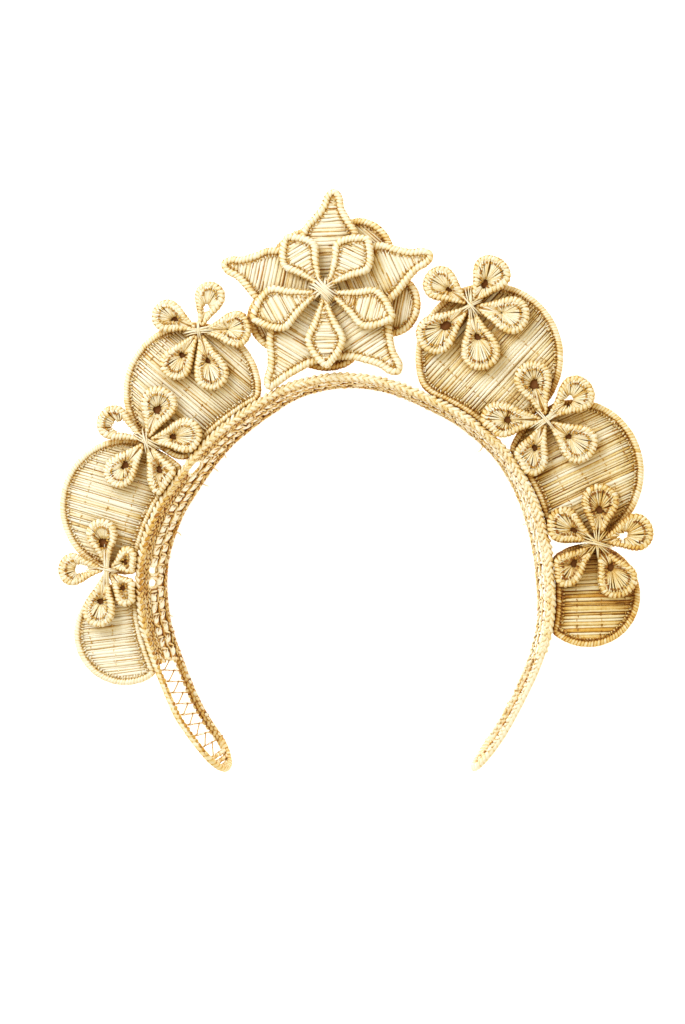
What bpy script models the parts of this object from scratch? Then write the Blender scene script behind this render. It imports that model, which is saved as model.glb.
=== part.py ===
"""Palm fibre tiara: a netted headband with woven discs, small five-petal flowers and a star.

It lies on its back rim, front up: +Z out of the front, +Y towards the star, +X to the right.
Tables are in millimetres in the plane of the front. SHIFT puts the origin under the middle.
"""

import math

import bmesh
import bpy
import numpy as np

MM = 0.001
GAP = 0.3
SHIFT = (-3.69, -11.14)

# Headband: heights of the two edges, the cord round them and the net between them.
FRONT_Z = 28.2
BACK_Z = 1.5
EDGE_R = 1.3
BACK_EDGE_R = 1.62
END_LENGTH = 12.5
NET_THICKNESS = 1.2
NET_BAR = 0.9
NET_FIRST = 6.6
NET_ROW = 4.7
NET_ROWS = 9
NET_SKEW = 4.0
LEG_MARKS = (0.22, 0.62)

# Heights of the layers of the front.
DISC_Z = 26.3
DISC_RIM_R = 1.3
DISC_THICKNESS = 1.5
FLOWER_Z = 29.7
FLOWER_CORD_R = 1.8
BACK_PETAL_Z = 26.1
BACK_CORD_R = 1.5
STAR_Z = 29.5
STAR_CORD_R = 1.6
FRONT_PETAL_Z = 33.0
FRONT_CORD_R = 1.55
WEB_THICKNESS = 1.0

# Front edge of the headband from the left end over the top to the right end: x, y.
BAND_EDGE = [
    (-47.6, -100.0),
    (-53.0, -92.6),
    (-59.3, -84.4),
    (-64.8, -75.4),
    (-73.4, -54.4),
    (-77.0, -41.4),
    (-78.2, -27.0),
    (-77.0, -15.0),
    (-73.3, -3.8),
    (-66.8, 7.8),
    (-50.4, 28.2),
    (-28.8, 43.6),
    (-14.7, 49.5),
    (1.5, 51.5),
    (19.2, 48.5),
    (40.1, 39.7),
    (53.0, 31.2),
    (63.7, 20.4),
    (73.0, 3.6),
    (77.6, -13.0),
    (79.2, -28.0),
    (78.6, -42.0),
    (74.6, -56.6),
    (67.3, -72.4),
    (61.0, -83.9),
    (55.6, -91.6),
    (50.2, -98.6),
]

# How far the back edge lies inside the front edge: share of the length, inset.
BAND_INSET = [
    (0.00, 3.0),
    (0.06, 4.3),
    (0.15, 4.6),
    (0.25, 5.0),
    (0.36, 3.2),
    (0.46, 1.5),
    (0.54, 1.5),
    (0.64, 3.2),
    (0.74, 5.0),
    (0.80, 4.9),
    (0.86, 3.5),
    (0.92, 2.3),
    (1.00, 2.0),
]

# Single windows of the net besides those near the ends: place along the edge, length, and
# where they begin and end across.
SIDE_WINDOWS = [
    (80.2, 3.2, 0.34, 0.70),
    (85.6, 3.8, 0.34, 0.74),
    (130.6, 6.2, 0.13, 0.56),
]

# Woven discs: name, centre x, y, radius across, radius along, neighbours that bound them.
DISCS = [
    ("left_upper", -58.0, 46.0, 26.8, 26.8, ("left_middle",)),
    ("left_middle", -83.4, 2.3, 26.2, 26.4, ("left_upper", "left_lower")),
    ("left_lower", -84.2, -46.8, 19.8, 19.8, ("left_middle",)),
    ("right_upper", 55.6, 58.6, 28.0, 28.2, ("right_middle",)),
    ("right_middle", 87.9, 15.1, 25.9, 27.4, ("right_upper", "right_lower")),
    ("right_lower", 92.8, -31.4, 19.6, 19.6, ("right_middle",)),
]
DISC_STATIONS = 26

# Outlines of the petals' cords from the centre outwards: share of the length, of the half width.
ROUND_PETAL = [(0.12, 0.24), (0.34, 0.50), (0.56, 0.88), (0.76, 1.0), (0.93, 0.68)]
KITE_PETAL = [(0.12, 0.20), (0.36, 0.56), (0.60, 1.0), (0.78, 0.80), (0.93, 0.36)]
WIDE_PETAL = [(0.14, 0.22), (0.36, 0.62), (0.58, 0.96), (0.78, 1.0), (0.94, 0.64)]
PETAL_BASE = 3.3

# Small flowers: name, centre x, y, then a row per petal with its angle, length, width,
# the eye's place along it and radius (0 for none), the rise of its tip and its roll.
FLOWERS = [
    ("left_upper", -54.7, 69.2, [
        (155, 19.8, 12.9, 0.50, 1.3, 0.5, 0.6),
        (72, 19.5, 12.2, 0.46, 1.5, 1.2, -0.5),
        (2, 20.4, 14.4, 0.50, 0.0, 0.3, 0.4),
        (-74, 23.7, 13.7, 0.48, 1.3, 0.0, 0.5),
        (-125, 21.8, 12.9, 0.50, 1.4, 0.4, -0.5),
    ]),
    ("left_middle", -75.2, 27.2, [
        (151, 21.0, 13.7, 0.47, 2.5, 0.6, 0.4),
        (70, 21.8, 14.4, 0.58, 1.9, 1.0, 0.6),
        (8, 22.0, 13.7, 0.45, 1.4, 0.2, 0.5),
        (-65, 23.4, 12.9, 0.50, 1.5, 0.0, -0.6),
        (-131, 22.0, 12.9, 0.56, 1.7, 0.4, 0.5),
    ]),
    ("left_lower", -90.4, -21.9, [
        (180, 19.1, 12.9, 0.54, 2.2, 0.4, 0.5),
        (98, 19.6, 12.2, 0.50, 2.2, 0.8, 0.5),
        (22, 13.4, 11.6, 0.54, 1.4, 0.0, -0.4),
        (-50, 16.8, 12.2, 0.54, 1.6, 0.3, 0.5),
        (-101, 22.7, 13.0, 0.54, 1.5, 0.6, 0.8),
    ]),
    ("right_upper", 48.8, 77.9, [
        (144, 20.9, 13.7, 0.46, 1.2, 0.4, 0.5),
        (57, 21.1, 15.2, 0.42, 1.7, 1.0, -0.5),
        (-14, 22.7, 14.4, 0.50, 0.0, 0.3, 0.5),
        (-78, 25.0, 15.2, 0.46, 1.5, 0.0, 0.5),
        (-141, 24.6, 15.4, 0.48, 2.1, 0.4, -0.6),
    ]),
    ("right_middle", 77.1, 34.7, [
        (108, 23.0, 14.4, 0.62, 2.1, 0.6, 0.5),
        (40, 21.7, 14.4, 0.50, 1.9, 1.0, 0.4),
        (-37, 22.2, 15.2, 0.44, 1.3, 0.4, 0.6),
        (-112, 22.6, 13.7, 0.48, 1.4, 0.2, -0.5),
        (180, 24.9, 14.4, 0.58, 1.6, 0.0, 0.5),
    ]),
    ("right_lower", 96.2, -11.7, [
        (151, 21.0, 14.0, 0.44, 1.4, 0.3, 0.5),
        (86, 22.6, 14.4, 0.54, 1.7, 0.8, 0.5),
        (16, 21.7, 14.4, 0.48, 2.0, 1.0, -0.4),
        (-61, 22.5, 15.4, 0.42, 1.6, 0.4, 0.8),
        (-139, 22.2, 12.9, 0.50, 1.6, 0.2, 0.5),
    ]),
]

# Centre ornament: a row per petal with its angle, length and width.
CENTRE = (-6.7, 84.0)
BACK_PETALS = [
    (125, 26.2, 23.0),
    (49, 32.6, 23.0),
    (-12, 37.0, 23.6),
    (-88, 30.4, 25.0),
    (-150, 32.6, 23.0),
]
FRONT_PETALS = [
    (125, 25.6, 16.2),
    (49, 26.4, 17.4),
    (-22, 29.2, 16.4),
    (-88, 29.6, 15.6),
    (-159, 30.0, 18.0),
]
# Star: a row per point with its angle, reach and the reach of the valley after it, anticlockwise.
STAR_POINTS = [
    (18.2, 43.6, 22.6),
    (84.5, 39.0, 20.6),
    (164.6, 41.2, 23.0),
    (240.0, 43.4, 26.8),
    (312.5, 42.8, 25.2),
]
# Half widths along every point: share of its reach, half width.
STAR_POINT_WIDTHS = [(0.62, 10.6), (0.72, 7.8), (0.84, 4.9), (0.955, 3.6)]

TIE_ROWS = [(3.5, 0.0), (3.3, 0.6), (1.8, 1.1)]
CENTRE_TIE_ROWS = [(5.0, 0.0), (4.7, 0.7), (2.8, 1.3)]


def make_material(name, colour, roughness):
    material = bpy.data.materials.new(name)
    material.use_nodes = True
    shader = material.node_tree.nodes["Principled BSDF"]
    shader.inputs["Base Color"].default_value = (*colour, 1.0)
    shader.inputs["Roughness"].default_value = roughness
    return material


def add_object(name, bm, material):
    """Turns a bmesh in millimetres into an object in metres, with its normals outwards."""
    bmesh.ops.recalc_face_normals(bm, faces=bm.faces)
    bmesh.ops.translate(bm, verts=bm.verts, vec=(SHIFT[0], SHIFT[1], 0.0))
    bmesh.ops.scale(bm, verts=bm.verts, vec=(MM, MM, MM))
    mesh = bpy.data.meshes.new(name)
    bm.to_mesh(mesh)
    bm.free()
    mesh.materials.append(material)
    obj = bpy.data.objects.new(name, mesh)
    bpy.context.scene.collection.objects.link(obj)
    for polygon in mesh.polygons:
        polygon.use_smooth = True
    return obj


def spline(points, steps=16):
    """Dense curve through open control points."""
    p = np.array(points, dtype=float)
    p = np.vstack([2 * p[0] - p[1], p, 2 * p[-1] - p[-2]])
    out = []
    for i in range(1, len(p) - 2):
        for k in range(steps):
            t = k / steps
            a = 2 * p[i]
            b = p[i + 1] - p[i - 1]
            c = 2 * p[i - 1] - 5 * p[i] + 4 * p[i + 1] - p[i + 2]
            d = 3 * p[i] - 3 * p[i + 1] + p[i + 2] - p[i - 1]
            out.append(0.5 * (a + b * t + c * t * t + d * t ** 3))
    out.append(p[-2])
    return np.array(out)


class Band:
    """The headband's surface: place along the front edge in millimetres, place across from 0 to 1."""

    def __init__(self):
        self.line = spline(BAND_EDGE)
        steps = np.linalg.norm(np.diff(self.line, axis=0), axis=1)
        self.arc = np.concatenate([[0.0], np.cumsum(steps)])
        self.length = self.arc[-1]

    def at(self, s):
        x = np.interp(s, self.arc, self.line[:, 0])
        y = np.interp(s, self.arc, self.line[:, 1])
        return np.array([x, y])

    def outward(self, s):
        low = self.at(max(s - 1.5, 0.0))
        high = self.at(min(s + 1.5, self.length))
        t = (high - low) / np.linalg.norm(high - low)
        return np.array([-t[1], t[0]])

    def inset(self, s):
        return np.interp(s / self.length, [row[0] for row in BAND_INSET], [row[1] for row in BAND_INSET])

    def point(self, s, across):
        xy = self.at(s) - self.outward(s) * self.inset(s) * across
        return np.array([xy[0], xy[1], FRONT_Z + (BACK_Z - FRONT_Z) * across])

    def push_out(self, xy, clearance):
        """Moves a point off the front edge until it is clear of it."""
        away = self.line - xy
        nearest = int(np.argmin((away ** 2).sum(1)))
        normal = self.outward(self.arc[nearest])
        lies = float(np.dot(xy - self.line[nearest], normal))
        if lies >= clearance or lies < -30.0:
            return xy
        return xy + normal * (clearance - lies)


BAND = Band()


def ring_normals(path):
    """Inward horizontal normals of a closed path that runs anticlockwise."""
    ahead = np.roll(path, -1, axis=0)[:, :2]
    behind = np.roll(path, 1, axis=0)[:, :2]
    t = ahead - behind
    t /= np.linalg.norm(t, axis=1)[:, None]
    return np.stack([-t[:, 1], t[:, 0]], axis=1)


def build_panel(name, path, radii, thickness, material, eye=None, sides=6):
    """A closed cord along the path with a thin web inside it, open at the eye if one is given."""
    bm = bmesh.new()
    normals = ring_normals(path)
    rows = []
    for p, n, r in zip(path, normals, radii):
        start = math.asin(min(0.5 * thickness / r, 0.9))
        row = []
        for k in range(sides):
            a = start + (2.0 * math.pi - 2.0 * start) * k / (sides - 1)
            reach = r * math.cos(a)
            row.append(bm.verts.new((p[0] + n[0] * reach, p[1] + n[1] * reach, p[2] + r * math.sin(a))))
        rows.append(row)
    count = len(rows)
    if eye is not None:
        for i, row in enumerate(rows):
            turn = eye["turn"] + 2.0 * math.pi * i / count
            x = eye["x"] + eye["r"] * math.cos(turn)
            y = eye["y"] + eye["r"] * math.sin(turn)
            row.append(bm.verts.new((x, y, eye["z"] - 0.5 * thickness)))
            row.append(bm.verts.new((x, y, eye["z"] + 0.5 * thickness)))
    for i in range(count):
        here, there = rows[i], rows[(i + 1) % count]
        width = len(here)
        last = width if eye is not None else width - 1
        for k in range(last):
            m = (k + 1) % width
            bm.faces.new((here[k], there[k], there[m], here[m]))
    if eye is None:
        bm.faces.new([row[0] for row in rows])
        bm.faces.new([row[-1] for row in reversed(rows)])
    return add_object(name, bm, material)


def build_petal(name, centre, shape, angle, length, width, limits, cord_r, z, material, **more):
    """One petal: its cord runs out from the flower's centre, round the tip and back."""
    clearance = more["clearance"]
    a = math.radians(angle)
    axis = np.array([math.cos(a), math.sin(a)])
    side = np.array([-axis[1], axis[0]])
    reach = length - cord_r
    half = 0.5 * width - cord_r
    rise, roll = more.get("rise", 0.0), more.get("roll", 0.0)
    start = more.get("base", PETAL_BASE)

    def limited(u, v):
        bound = math.tan(0.5 * math.radians(limits[0] if v > 0 else limits[1]))
        cord = thick(u)
        free = u * bound - 0.5 * GAP * math.sqrt(1.0 + bound * bound) - cord * math.sqrt(1.0 + bound * bound)
        return math.copysign(min(abs(v), max(free, 0.62 * cord)), v)

    def thick(u):
        t = min(max((u - start) / (0.40 * (reach - start)), 0.0), 1.0)
        return cord_r * (0.60 + 0.40 * t * t * (3.0 - 2.0 * t))

    def place(u, v):
        xy = BAND.push_out(np.array(centre) + axis * u + side * v, clearance) if clearance else (
            np.array(centre) + axis * u + side * v
        )
        tilt = rise * (u / reach) ** 2 + abs(roll) * 0.5 * min(u / reach * 1.4, 1.0) * (
            1.0 + math.copysign(1.0, roll) * v / max(half, 0.1)
        )
        return [xy[0], xy[1], z + tilt]

    path = [place(start, 0.0)]
    radii = [thick(start)]
    for share, wide in shape:
        u = start + share * (reach - start)
        path.append(place(u, limited(u, -wide * half)))
        radii.append(thick(u))
    path.append(place(reach, 0.0))
    radii.append(thick(reach))
    for share, wide in reversed(shape):
        u = start + share * (reach - start)
        path.append(place(u, limited(u, wide * half)))
        radii.append(thick(u))
    path = np.array(path)
    eye = None
    if more.get("eye_r", 0.0) > 0.0:
        u = start + more["eye_at"] * (reach - start)
        spot = place(u, 0.0)
        eye = {"x": spot[0], "y": spot[1], "z": spot[2], "r": more["eye_r"], "turn": a + math.pi}
    return build_panel(name, path, radii, WEB_THICKNESS, material, eye, 6 if len(more) > 1 else 5)


def build_flower(prefix, centre, petals, shape, cord_r, z, material, clearance):
    """Petals round a centre, each kept clear of its two neighbours."""
    order = sorted(range(len(petals)), key=lambda i: petals[i][0] % 360)
    for n, row in enumerate(petals):
        place = order.index(n)
        ahead = petals[order[(place + 1) % len(order)]][0]
        behind = petals[order[place - 1]][0]
        limits = ((ahead - row[0]) % 360, (row[0] - behind) % 360)
        more = {"clearance": clearance}
        if len(row) > 3:
            more.update(eye_at=row[3], eye_r=row[4], rise=row[5], roll=row[6])
        build_petal(
            f"{prefix}_petal_{n + 1}", centre, shape, row[0], row[1], row[2], limits, cord_r, z, material, **more
        )


def build_disc(name, cx, cy, across, along, bounds, material):
    """A woven disc, cut off along the headband and half way to its neighbours."""
    rows = {row[0]: row for row in DISCS}
    path = []
    for k in range(DISC_STATIONS):
        a = 2.0 * math.pi * (k + 0.5) / DISC_STATIONS
        direction = np.array([math.cos(a), math.sin(a)])
        reach = 1.0 / math.hypot(direction[0] / across, direction[1] / along) - DISC_RIM_R
        for other in bounds:
            line = np.array([rows[other][1] - cx, rows[other][2] - cy])
            apart = np.linalg.norm(line)
            line /= apart
            mine, theirs = 0.5 * (across + along), 0.5 * (rows[other][3] + rows[other][4])
            limit = (apart * apart + mine * mine - theirs * theirs) / (2.0 * apart) - DISC_RIM_R - 0.5 * GAP
            facing = float(np.dot(direction, line))
            if facing > 0.05:
                reach = min(reach, limit / facing)
        xy = BAND.push_out(np.array([cx, cy]) + direction * reach, EDGE_R + DISC_RIM_R + GAP - 0.4)
        path.append([xy[0], xy[1], DISC_Z])
    path = np.array(path)
    radii = [DISC_RIM_R] * len(path)
    return build_panel(name, path, radii, DISC_THICKNESS, material, None, 5)


def build_star(material):
    """The five-point star in one piece, with a cord along its whole outline."""
    path = []
    for i, (angle, reach, valley) in enumerate(STAR_POINTS):
        following = STAR_POINTS[(i + 1) % len(STAR_POINTS)]
        a = math.radians(angle)
        axis = np.array([math.cos(a), math.sin(a)])
        side = np.array([-axis[1], axis[0]])
        inner = reach - STAR_CORD_R
        for share, half in STAR_POINT_WIDTHS:
            path.append(np.array(CENTRE) + axis * share * inner - side * (half - STAR_CORD_R))
        path.append(np.array(CENTRE) + axis * inner)
        for share, half in reversed(STAR_POINT_WIDTHS):
            path.append(np.array(CENTRE) + axis * share * inner + side * (half - STAR_CORD_R))
        turn = math.radians(angle + 0.5 * ((following[0] - angle) % 360))
        path.append(np.array(CENTRE) + (valley - STAR_CORD_R) * np.array([math.cos(turn), math.sin(turn)]))
    path = [BAND.push_out(p, EDGE_R + STAR_CORD_R + GAP) for p in path]
    path = np.array([[p[0], p[1], STAR_Z] for p in path])
    return build_panel("star", path, [STAR_CORD_R] * len(path), 1.2, material, None, 5)


def build_tie(name, centre, bottom, rows, material, sides=8):
    """A low domed knot."""
    bm = bmesh.new()
    rings = []
    for r, up in rows:
        ring = []
        for k in range(sides):
            a = 2.0 * math.pi * k / sides
            ring.append(bm.verts.new((centre[0] + r * math.cos(a), centre[1] + r * math.sin(a), bottom + up)))
        rings.append(ring)
    for low, high in zip(rings, rings[1:]):
        for k in range(sides):
            m = (k + 1) % sides
            bm.faces.new((low[k], low[m], high[m], high[k]))
    bm.faces.new(list(reversed(rings[0])))
    bm.faces.new(rings[-1])
    return add_object(name, bm, material)


def build_band_rim(material, stations=36, sides=8):
    """The cord round the whole edge of the headband, flat underneath where it rests."""
    turns = [math.radians(t) for t in (0, 30, 60)]
    ends = [(END_LENGTH * (1.0 - math.cos(t)), 0.5 * math.sin(t)) for t in turns]
    spaced = np.linspace(END_LENGTH, BAND.length - END_LENGTH, stations)
    front = [(s, 0.5 - w) for s, w in ends]
    front += [(s, 0.0) for s in spaced]
    front += [(BAND.length - s, 0.5 - w) for s, w in reversed(ends)]
    back = [(BAND.length - s, 0.5 + w) for s, w in ends[1:]]
    back += [(s, 1.0) for s in reversed(spaced)]
    back += [(s, 0.5 + w) for s, w in reversed(ends[1:])]
    stops = front + back
    path = np.array([BAND.point(s, w) for s, w in stops])
    bm = bmesh.new()
    rings = []
    for i, (s, w) in enumerate(stops):
        t = path[(i + 1) % len(path)] - path[i - 1]
        t /= np.linalg.norm(t)
        out = np.array([*BAND.outward(s), 0.0])
        flat = abs(w - 0.5) > 0.49
        n = np.cross(t, np.array([0.0, 0.0, 1.0])) if flat else out - t * np.dot(out, t)
        n /= np.linalg.norm(n)
        if np.dot(n, out) < 0.0:
            n = -n
        b = np.cross(t, n)
        r = EDGE_R + (BACK_EDGE_R - EDGE_R) * w
        ring = []
        for k in range(sides):
            a = 2.0 * math.pi * (k + 0.5) / sides
            ring.append(bm.verts.new(path[i] + n * r * math.cos(a) + b * r * math.sin(a)))
        rings.append(ring)
    for i, here in enumerate(rings):
        there = rings[(i + 1) % len(rings)]
        for k in range(sides):
            m = (k + 1) % sides
            bm.faces.new((here[k], here[m], there[m], there[k]))
    floor = min(v.co.z for v in bm.verts)
    bmesh.ops.translate(bm, verts=bm.verts, vec=(0.0, 0.0, -floor))
    return add_object("band_rim", bm, material)


def inset_window(bm, corners, bar):
    """A face with an opening that leaves half a bar inside each of its edges."""
    places = np.array([v.co[:] for v in corners])
    along = places[-1] - places[0]
    along /= np.linalg.norm(along)
    facing = np.cross(along, places[2] - places[0])
    facing /= np.linalg.norm(facing)
    across = np.cross(facing, along)
    flat = np.stack([places @ along, places @ across], axis=1)
    count = len(flat)
    ahead = np.roll(flat, -1, axis=0) - flat
    turned = np.stack([-ahead[:, 1], ahead[:, 0]], axis=1) / np.linalg.norm(ahead, axis=1)[:, None]
    area = sum(flat[i - 1][0] * flat[i][1] - flat[i][0] * flat[i - 1][1] for i in range(count))
    turned *= math.copysign(1.0, area)
    inside = []
    for i in range(count):
        before, after = turned[i - 1], turned[i]
        step = 0.5 * bar * (before + after) / (1.0 + float(np.dot(before, after)))
        inside.append(bm.verts.new(places[i] + along * step[0] + across * step[1]))
    for i in range(count):
        m = (i + 1) % count
        bm.faces.new((corners[i], corners[m], inside[m], inside[i]))


def net_width(s):
    """Share of the net's full width, less towards the rounded tips."""
    near = min(s, BAND.length - s)
    if near >= END_LENGTH:
        return 1.0
    inner = END_LENGTH - EDGE_R - GAP - 0.2
    return math.sqrt(max(1.0 - ((END_LENGTH - near) / inner) ** 2, 0.0))


def net_place(s, across):
    """A place on the net, whose cross bars lean towards the tips at the back."""
    near = min(s, BAND.length - s)
    top = NET_FIRST + NET_ROW * NET_ROWS
    ramp = min(max((near - 9.0) / 9.0, 0.0), 1.0) * min(max((top + 20.0 - near) / 20.0, 0.0), 1.0)
    shift = NET_SKEW * ramp * (across - 0.5)
    return BAND.point(s - shift if near == s else s + shift, across)


def build_band_net(material):
    """The strip between the edges: closed work over the top, open windows near both ends."""
    depth = FRONT_Z - BACK_Z
    margin_front = (EDGE_R + GAP) / depth
    margin_back = (BACK_EDGE_R + GAP) / depth
    top = NET_FIRST + NET_ROW * NET_ROWS
    stops = [2.2, 4.4] + [NET_FIRST + NET_ROW * k for k in range(NET_ROWS)]
    stops += list(np.linspace(top, 0.5 * BAND.length, 10))
    stops += [BAND.length - s for s in reversed(stops[:-1])]
    for place, length, _, _ in SIDE_WINDOWS:
        low, high = place - 0.5 * length, place + 0.5 * length
        stops = [s for s in stops if not low - 2.0 < s < high + 2.0] + [low, high]
    stops.sort()
    bm = bmesh.new()
    grid = []
    for s in stops:
        wide = net_width(s)
        low = 0.5 - (0.5 - margin_front) * wide
        high = 0.5 + (0.5 - margin_back) * wide
        nearest = min(SIDE_WINDOWS, key=lambda row: abs(row[0] - s))
        marks = LEG_MARKS if min(s, BAND.length - s) < top + 1.0 else nearest[2:]
        inner = [0.5 + (mark - 0.5) * wide for mark in marks]
        grid.append([bm.verts.new(net_place(s, w)) for w in (low, *inner, high)])
    count = len(grid)
    for i in range(count - 1):
        here, there = grid[i], grid[i + 1]
        left = 2 <= i < 2 + NET_ROWS
        right = 2 <= count - 2 - i < 2 + NET_ROWS
        if left or right:
            if right:
                here, there = there, here
            inset_window(bm, [here[0], here[1], there[2], there[1], there[0]], NET_BAR)
            inset_window(bm, [here[1], here[2], here[3], there[3], there[2]], NET_BAR)
            continue
        middle = 0.5 * (stops[i] + stops[i + 1])
        side = any(abs(middle - row[0]) < 0.5 for row in SIDE_WINDOWS)
        for k in range(3):
            if k == 1 and side:
                inset_window(bm, [here[1], here[2], there[2], there[1]], 0.4)
            else:
                bm.faces.new((here[k], here[k + 1], there[k + 1], there[k]))
    obj = add_object("band_net", bm, material)
    solidify = obj.modifiers.new("thickness", "SOLIDIFY")
    solidify.thickness = NET_THICKNESS * MM
    solidify.offset = 0.0
    solidify.use_even_offset = True
    return obj


def main():
    for obj in list(bpy.data.objects):
        bpy.data.objects.remove(obj, do_unlink=True)
    wrap = make_material("palm_wrap", (0.86, 0.72, 0.44), 0.6)
    field = make_material("palm_field", (0.88, 0.77, 0.52), 0.6)
    net = make_material("palm_net", (0.74, 0.56, 0.30), 0.7)
    tie = make_material("palm_tie", (0.92, 0.84, 0.64), 0.5)

    build_band_rim(wrap)
    build_band_net(net)
    for row in DISCS:
        build_disc(f"disc_{row[0]}", row[1], row[2], row[3], row[4], row[5], field)
    for name, x, y, petals in FLOWERS:
        clearance = EDGE_R + FLOWER_CORD_R + GAP - 0.3
        build_flower(f"flower_{name}", (x, y), petals, ROUND_PETAL, FLOWER_CORD_R, FLOWER_Z, wrap, clearance)
        top = FLOWER_Z + 0.62 * FLOWER_CORD_R + 0.4
        build_tie(f"flower_{name}_tie", (x, y), top + GAP, TIE_ROWS, tie)
    build_flower("back", CENTRE, BACK_PETALS, WIDE_PETAL, BACK_CORD_R, BACK_PETAL_Z, wrap, EDGE_R + BACK_CORD_R + GAP)
    build_star(wrap)
    build_flower("front", CENTRE, FRONT_PETALS, KITE_PETAL, FRONT_CORD_R, FRONT_PETAL_Z, wrap, 0.0)
    build_tie("centre_tie", CENTRE, FRONT_PETAL_Z + 0.62 * FRONT_CORD_R + 0.2 + GAP, CENTRE_TIE_ROWS, tie)


main()
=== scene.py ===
"""Palm fibre tiara: wrapped cords, laid straws, tie strands and the netted headband.

Lengths are in millimetres in the plane of the front, as in the part's source, and become
metres when a piece is finished. Each piece of fibre work takes the place of one solid.
"""

import math

import bpy
import numpy as np
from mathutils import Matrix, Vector


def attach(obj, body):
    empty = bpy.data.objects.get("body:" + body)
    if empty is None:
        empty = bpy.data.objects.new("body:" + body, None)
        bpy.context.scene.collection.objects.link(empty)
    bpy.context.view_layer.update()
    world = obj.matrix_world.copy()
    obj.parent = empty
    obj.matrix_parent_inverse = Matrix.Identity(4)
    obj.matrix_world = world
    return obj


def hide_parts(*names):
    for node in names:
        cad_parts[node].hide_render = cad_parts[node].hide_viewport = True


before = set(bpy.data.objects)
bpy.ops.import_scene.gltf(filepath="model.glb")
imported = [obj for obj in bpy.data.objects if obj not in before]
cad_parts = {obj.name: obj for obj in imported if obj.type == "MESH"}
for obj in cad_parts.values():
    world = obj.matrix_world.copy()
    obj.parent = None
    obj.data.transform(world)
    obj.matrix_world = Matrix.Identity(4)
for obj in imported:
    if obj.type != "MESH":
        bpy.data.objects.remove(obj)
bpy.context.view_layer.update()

MM = 0.001
SHIFT = np.array([-3.69, -11.14, 0.0])
UP = np.array([0.0, 0.0, 1.0])

# Headband: heights of its edges, radii of the cord round them, and its net. LEG_MARKS are the
# places across where the slanting dividers begin and end, PALE_LEG the length of the right leg
# that is painted paler as if lit, RIGHT_HALF the share of the length after which the back edge is
# painted paler as if lit.
FRONT_Z = 28.2
BACK_Z = 1.5
EDGE_R = 1.3
BACK_EDGE_R = 1.62
END_LENGTH = 12.5
NET_FIRST = 6.6
NET_ROW = 4.7
NET_ROWS = 9
NET_TOP = NET_FIRST + NET_ROW * NET_ROWS
NET_SKEW = 4.0
NET_WIDTH = FRONT_Z - BACK_Z
LEG_MARKS = (0.22, 0.62)
PALE_LEG = 58.0
RIGHT_HALF = 0.55
GAP = 0.3

# Heights and cords of the layers of the front.
DISC_Z = 26.3
DISC_RIM_R = 1.3
FLOWER_Z = 29.7
FLOWER_CORD_R = 1.8
BACK_PETAL_Z = 26.1
BACK_CORD_R = 1.5
STAR_Z = 29.5
STAR_CORD_R = 1.6
FRONT_PETAL_Z = 33.0
FRONT_CORD_R = 1.55

# Front edge of the headband from the left end over the top to the right end: x, y.
BAND_EDGE = [
    (-47.6, -100.0),
    (-53.0, -92.6),
    (-59.3, -84.4),
    (-64.8, -75.4),
    (-73.4, -54.4),
    (-77.0, -41.4),
    (-78.2, -27.0),
    (-77.0, -15.0),
    (-73.3, -3.8),
    (-66.8, 7.8),
    (-50.4, 28.2),
    (-28.8, 43.6),
    (-14.7, 49.5),
    (1.5, 51.5),
    (19.2, 48.5),
    (40.1, 39.7),
    (53.0, 31.2),
    (63.7, 20.4),
    (73.0, 3.6),
    (77.6, -13.0),
    (79.2, -28.0),
    (78.6, -42.0),
    (74.6, -56.6),
    (67.3, -72.4),
    (61.0, -83.9),
    (55.6, -91.6),
    (50.2, -98.6),
]
# How far the back edge lies inside the front edge: share of the length, inset.
BAND_INSET = [
    (0.00, 3.0),
    (0.06, 4.3),
    (0.15, 4.6),
    (0.25, 5.0),
    (0.36, 3.2),
    (0.46, 1.5),
    (0.54, 1.5),
    (0.64, 3.2),
    (0.74, 5.0),
    (0.80, 4.9),
    (0.86, 3.5),
    (0.92, 2.3),
    (1.00, 2.0),
]
# Windows in the close work of the net: place along the edge, length, and where they begin and
# end across.
SIDE_WINDOWS = [
    (80.2, 3.2, 0.34, 0.70),
    (85.6, 3.8, 0.34, 0.74),
    (130.6, 6.2, 0.13, 0.56),
]

# Woven discs: name, centre x, y, radius across, radius along, neighbours, straw angle, paleness. The right
# lower disc's low paleness is painted shade.
DISCS = [
    ("left_upper", -58.0, 46.0, 26.8, 26.8, ("left_middle",), -40.0, 0.05),
    ("left_middle", -83.4, 2.3, 26.2, 26.4, ("left_upper", "left_lower"), -16.0, 0.08),
    ("left_lower", -84.2, -46.8, 19.8, 19.8, ("left_middle",), 7.0, 0.14),
    ("right_upper", 55.6, 58.6, 28.0, 28.2, ("right_middle",), 47.0, -0.05),
    ("right_middle", 87.9, 15.1, 25.9, 27.4, ("right_upper", "right_lower"), 25.0, -0.09),
    ("right_lower", 92.8, -31.4, 19.6, 19.6, ("right_middle",), 2.0, -0.27),
]
DISC_STATIONS = 26

# Outlines of the petals' cords from the centre outwards: share of the length, of the half width.
ROUND_PETAL = [(0.12, 0.24), (0.34, 0.50), (0.56, 0.88), (0.76, 1.0), (0.93, 0.68)]
KITE_PETAL = [(0.12, 0.20), (0.36, 0.56), (0.60, 1.0), (0.78, 0.80), (0.93, 0.36)]
WIDE_PETAL = [(0.14, 0.22), (0.36, 0.62), (0.58, 0.96), (0.78, 1.0), (0.94, 0.64)]
PETAL_BASE = 3.3
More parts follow.
